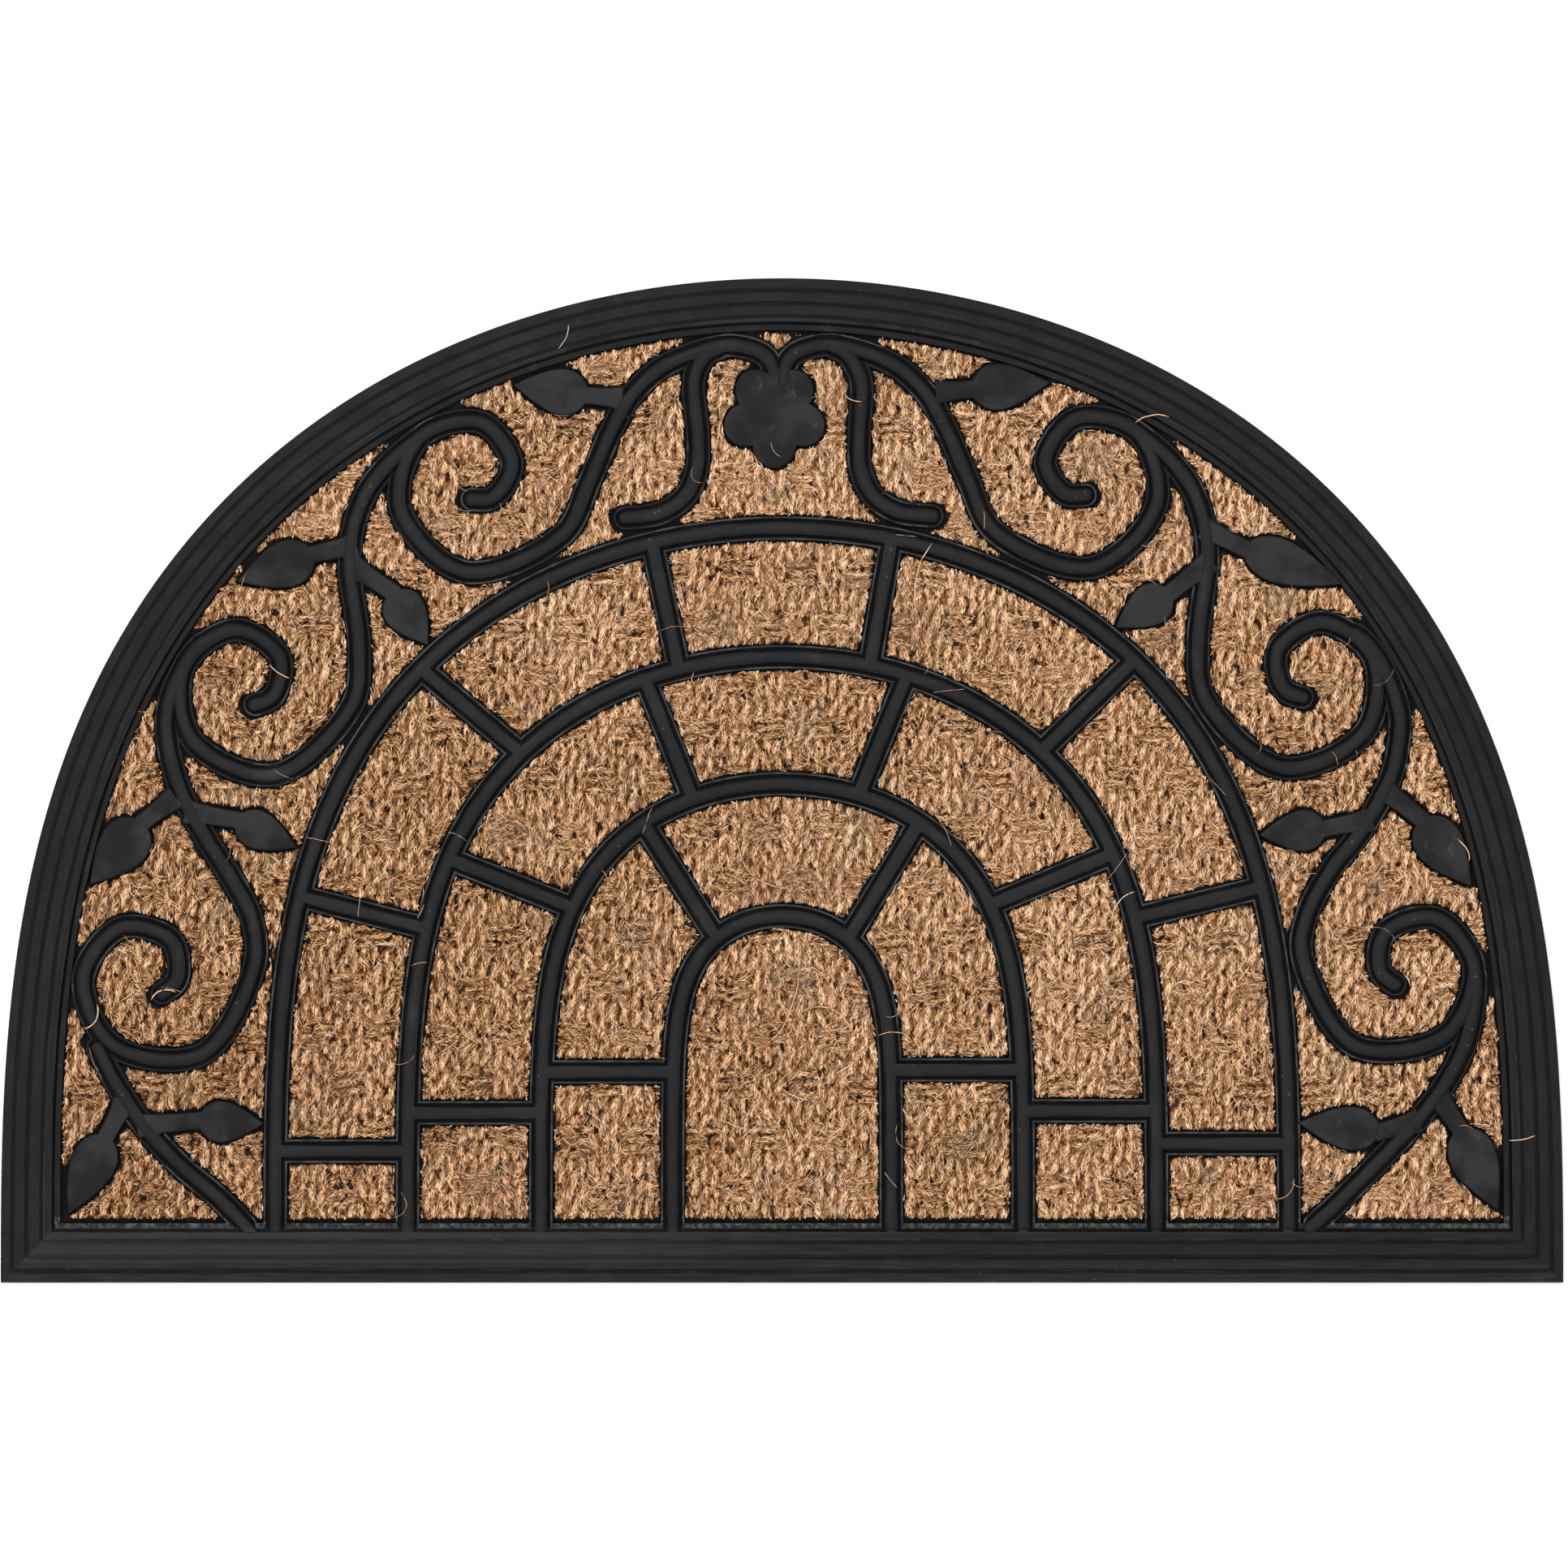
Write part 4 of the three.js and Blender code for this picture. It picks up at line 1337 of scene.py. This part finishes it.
def rubber_material():
    """Black moulded rubber: satin tops, painted shade on slopes and in the grooves, lips paler with painted
    highlight and wear, dust, smudges and scuffs.
    """
    s = Shader("rubber_black")
    x, y, z = s.coordinates()
    border, at_front, reach, turn = border_masks(s, x, y)
    cloud = s.ramp(s.noise(0.045, 4, 0.6), 0.32, 0.68)
    colour = s.mix(cloud, (0.0068, 0.0060, 0.0065), (0.0112, 0.0102, 0.0108))
    green = s.ramp(s.noise(0.014, 2), 0.42, 0.6, 0.0, 0.6)
    colour = s.mix(green, colour, (0.0076, 0.0082, 0.0080))
    # Painted shade: slopes are darker than what lies level
    normal = s.nodes.new("ShaderNodeNewGeometry").outputs["Normal"]
    upward = s.nodes.new("ShaderNodeSeparateXYZ")
    s.links.new(normal, upward.inputs[0])
    slope = upward.outputs[2]
    flat = s.ramp(slope, 0.85, 0.97)
    level = s.blend(border, s.ramp(slope, 0.45, 0.92), flat)
    colour = s.mix(level, (0.0040, 0.0038, 0.0042), colour)
    # Grooves, darkened as painted shade, and lips beside the beads, and along the rim and the front
    groove = s.band(z, GROOVE - 0.1, GROOVE + 0.3)
    colour = s.mix(groove, colour, (0.0012, 0.0011, 0.0012))
    lip = s.times(s.band(z, LIP_TOP - 0.2, LIP_TOP + 0.2), flat)
    rim = s.most(s.ramp(reach, 0.9885, 0.9915), s.ramp(y, *RIM_EDGE))
    colour = s.mix(s.times(lip, rim), colour, (0.0045, 0.0043, 0.0046))
    # Lips on the ribs are paler: painted highlight along their edge, in patches like wear
    on_rib = s.times(lip, s.ramp(rim, 0.0, 1.0, 1.0, 0.0))
    colour = s.mix(on_rib, colour, lip_highlight_and_wear(s, x, y))
    salt = s.ramp(s.noise(0.0011, 2, 0.7), 0.40, 0.72)
    grit = s.mix(salt, (0.007, 0.007, 0.007), (0.065, 0.064, 0.058))
    colour = s.mix(s.times(lip, s.ramp(y, *GRIT_EDGE)), colour, grit)
    dust = s.times(s.specks(0.007, 0.0007), s.ramp(s.noise(0.02, 1), 0.48, 0.6))
    colour = s.mix(s.times(dust, 0.3), colour, (0.13, 0.125, 0.115))
    smudge = s.noise(0.011, 5, 0.7, s.stretched((1, 1, 1), (0, 0, 0.6)))
    colour = s.mix(s.times(s.ramp(smudge, 0.56, 0.76), 0.3), colour, (0.04, 0.038, 0.038))
    colour = border_streaks(s, colour, x, y, border, at_front, reach, turn)
    # Leaves and flower
    pad = s.times(s.ramp(z, 0.00880, 0.00905), s.ramp(z, 0.00939, 0.00937))
    patchy = s.ramp(s.noise(0.010, 3), 0.38, 0.60)
    mottled = s.mix(patchy, (0.0042, 0.0040, 0.0043), (0.0175, 0.0170, 0.0178))
    colour = s.mix(s.times(pad, 0.8), colour, mottled)
    scuff = s.noise(0.0035, 4, 0.7, s.stretched((1.0, 0.6, 1.0), (0, 0, 0.7)))
    scuff = s.times(pad, s.ramp(scuff, 0.61, 0.74, 0.0, 0.35))
    colour = s.mix(scuff, colour, (0.060, 0.059, 0.060))
    s.bump(s.scaled(s.noise(0.0006, 2), 0.35, s.noise(0.0035, 3)), 0.00018, 0.5)
    return s.finish(colour, s.ramp(s.noise(0.006, 4), 0.3, 0.7, 0.48, 0.64), 0.11)


def fibre_material():
    """Coconut fibre, paler along its crest as painted highlight, darker on its lower sides and ends as
    painted shade.
    """
    s = Shader("coir_fibre")
    weft = s.attribute("weft")
    warp_streak = s.noise(0.00045, 2, 0.6, s.stretched((1.0, 0.18, 1.0)))
    weft_streak = s.noise(0.00045, 2, 0.6, s.stretched((0.18, 1.0, 1.0)))
    streak = s.blend(weft, warp_streak, weft_streak)
    # Painted highlight on each fibre's top edge, painted shade on its sides and ends
    tone = s.scaled(s.ramp(s.attribute("crest_shading"), 0.0, 0.5), 0.19, s.attribute("tint"))
    tone = s.scaled(streak, 1.6, s.less(tone, 0.91))
    s.bump(streak, 0.00015, 0.5)
    return s.finish(s.coir(tone, weft), s.ramp(streak, 0.3, 0.7, 0.62, 0.8), 0.15)


def base_material():
    """Coir between the fibres: slanted strands, with painted shade between yarns, near the rubber and in
    open crossings.
    """
    s = Shader("coir_base")
    across, along = s.attribute("across"), s.attribute("along")
    number = s.math("FLOOR", s.over(across, COLUMN / WARP_YARNS))
    right = s.math("GREATER_THAN", s.math("FRACT", s.times(number, HAND_STEP)), OTHER_HAND)
    hand = s.scaled(right, 2.0, -1.0)
    warp = s.strands(s.scaled(s.times(along, hand), -0.28, across), along, 0.6, 4.5)
    weft = s.strands(s.scaled(across, 0.25, along), across, 0.55, 5.0)
    is_weft = s.ramp(s.attribute("weft"), 0.35, 0.65)
    strand = s.blend(is_weft, warp, weft)
    tone = s.scaled(is_weft, -0.13, s.scaled(strand, 1.6, -0.22))
    # Painted shade deep between the plies
    tone = s.less(tone, s.ramp(s.attribute("depth"), 0.9, 1.8, 0.0, 0.3))
    # Painted shade next to the rubber, where the panel dips under it, with a ragged edge
    inside = s.scaled(s.noise(0.0016, 2), -4.0, s.attribute("room"))
    colour = s.mix(s.ramp(inside, -1.0, -0.2, 1.0, 0.0), s.coir(tone, is_weft), (0.006, 0.005, 0.005))
    # Painted shade in the open crossings
    colour = s.mix(s.times(s.attribute("hole"), 0.85), colour, (0.014, 0.010, 0.008))
    s.bump(strand, 0.0011, 0.8)
    return s.finish(colour, s.ramp(strand, 0.3, 0.7, 0.75, 0.9), 0.1)


def plain_material(name, colour, roughness):
    s = Shader(name)
    tone = s.noise(0.6, 2)
    return s.finish(s.mix(tone, tuple(0.99 * c for c in colour), colour), roughness, 0.2)


# Photograph's viewpoint, floor and light


# Width of what the photograph shows, in metres
FIELD_WIDTH = 0.7019


def set_camera():
    data = bpy.data.cameras.new("camera")
    data.lens, data.sensor_width = 200, 36
    camera = bpy.data.objects.new("camera", data)
    camera.location = (0.0009, -0.0016, 0.005 + FIELD_WIDTH * data.lens / data.sensor_width)
    bpy.context.scene.collection.objects.link(camera)
    bpy.context.scene.camera = camera


def area_light(azimuth, power, elevation, distance, size):
    data = bpy.data.lights.new("soft_light", "AREA")
    data.size, data.energy = size, power
    light = bpy.data.objects.new("soft_light", data)
    a, e = math.radians(azimuth), math.radians(elevation)
    light.location = Vector((math.cos(a) * math.cos(e), math.sin(a) * math.cos(e), math.sin(e))) * distance
    light.rotation_euler = light.location.to_track_quat("Z", "Y").to_euler()
    bpy.context.scene.collection.objects.link(light)


def set_lights():
    world = bpy.data.worlds.new("studio")
    world.use_nodes = True
    back = world.node_tree.nodes["Background"]
    back.inputs["Color"].default_value = (0.98, 0.99, 1.0, 1)
    back.inputs["Strength"].default_value = 0.42
    bpy.context.scene.world = world
    for azimuth, power in ((120, 62), (30, 42), (210, 40), (300, 30)):
        area_light(azimuth, power, elevation=58, distance=3.2, size=1.6)
    bpy.context.scene.view_settings.view_transform = "Standard"


def make_floor():
    half = 6000
    corners = [(-half, -half, 0), (half, -half, 0), (half, half, 0), (-half, half, 0)]
    floor = make_object("floor", corners, [0, 1, 2, 3])
    floor.data.materials.append(plain_material("floor_pale", (0.93, 0.93, 0.93), 0.8))


def dress(piece, material):
    piece.data.materials.clear()
    piece.data.materials.append(material)


ribs = rib_lines()
rubber = rubber_body(ribs)
rubber.data.set_sharp_from_angle(angle=math.radians(42))
dress(rubber, rubber_material())
field = clearance_grid(ribs)
coir = coir_base(field)
dress(coir, base_material())
fibres = [*fibre_pieces(field), hair_piece(field)]
straw = fibre_material()
for piece in fibres:
    dress(piece, straw)
set_camera()
set_lights()
make_floor()
for piece in [rubber, coir, *fibres]:
    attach(piece, "root")
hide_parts("rubber_moulding")
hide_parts("coir_panel")
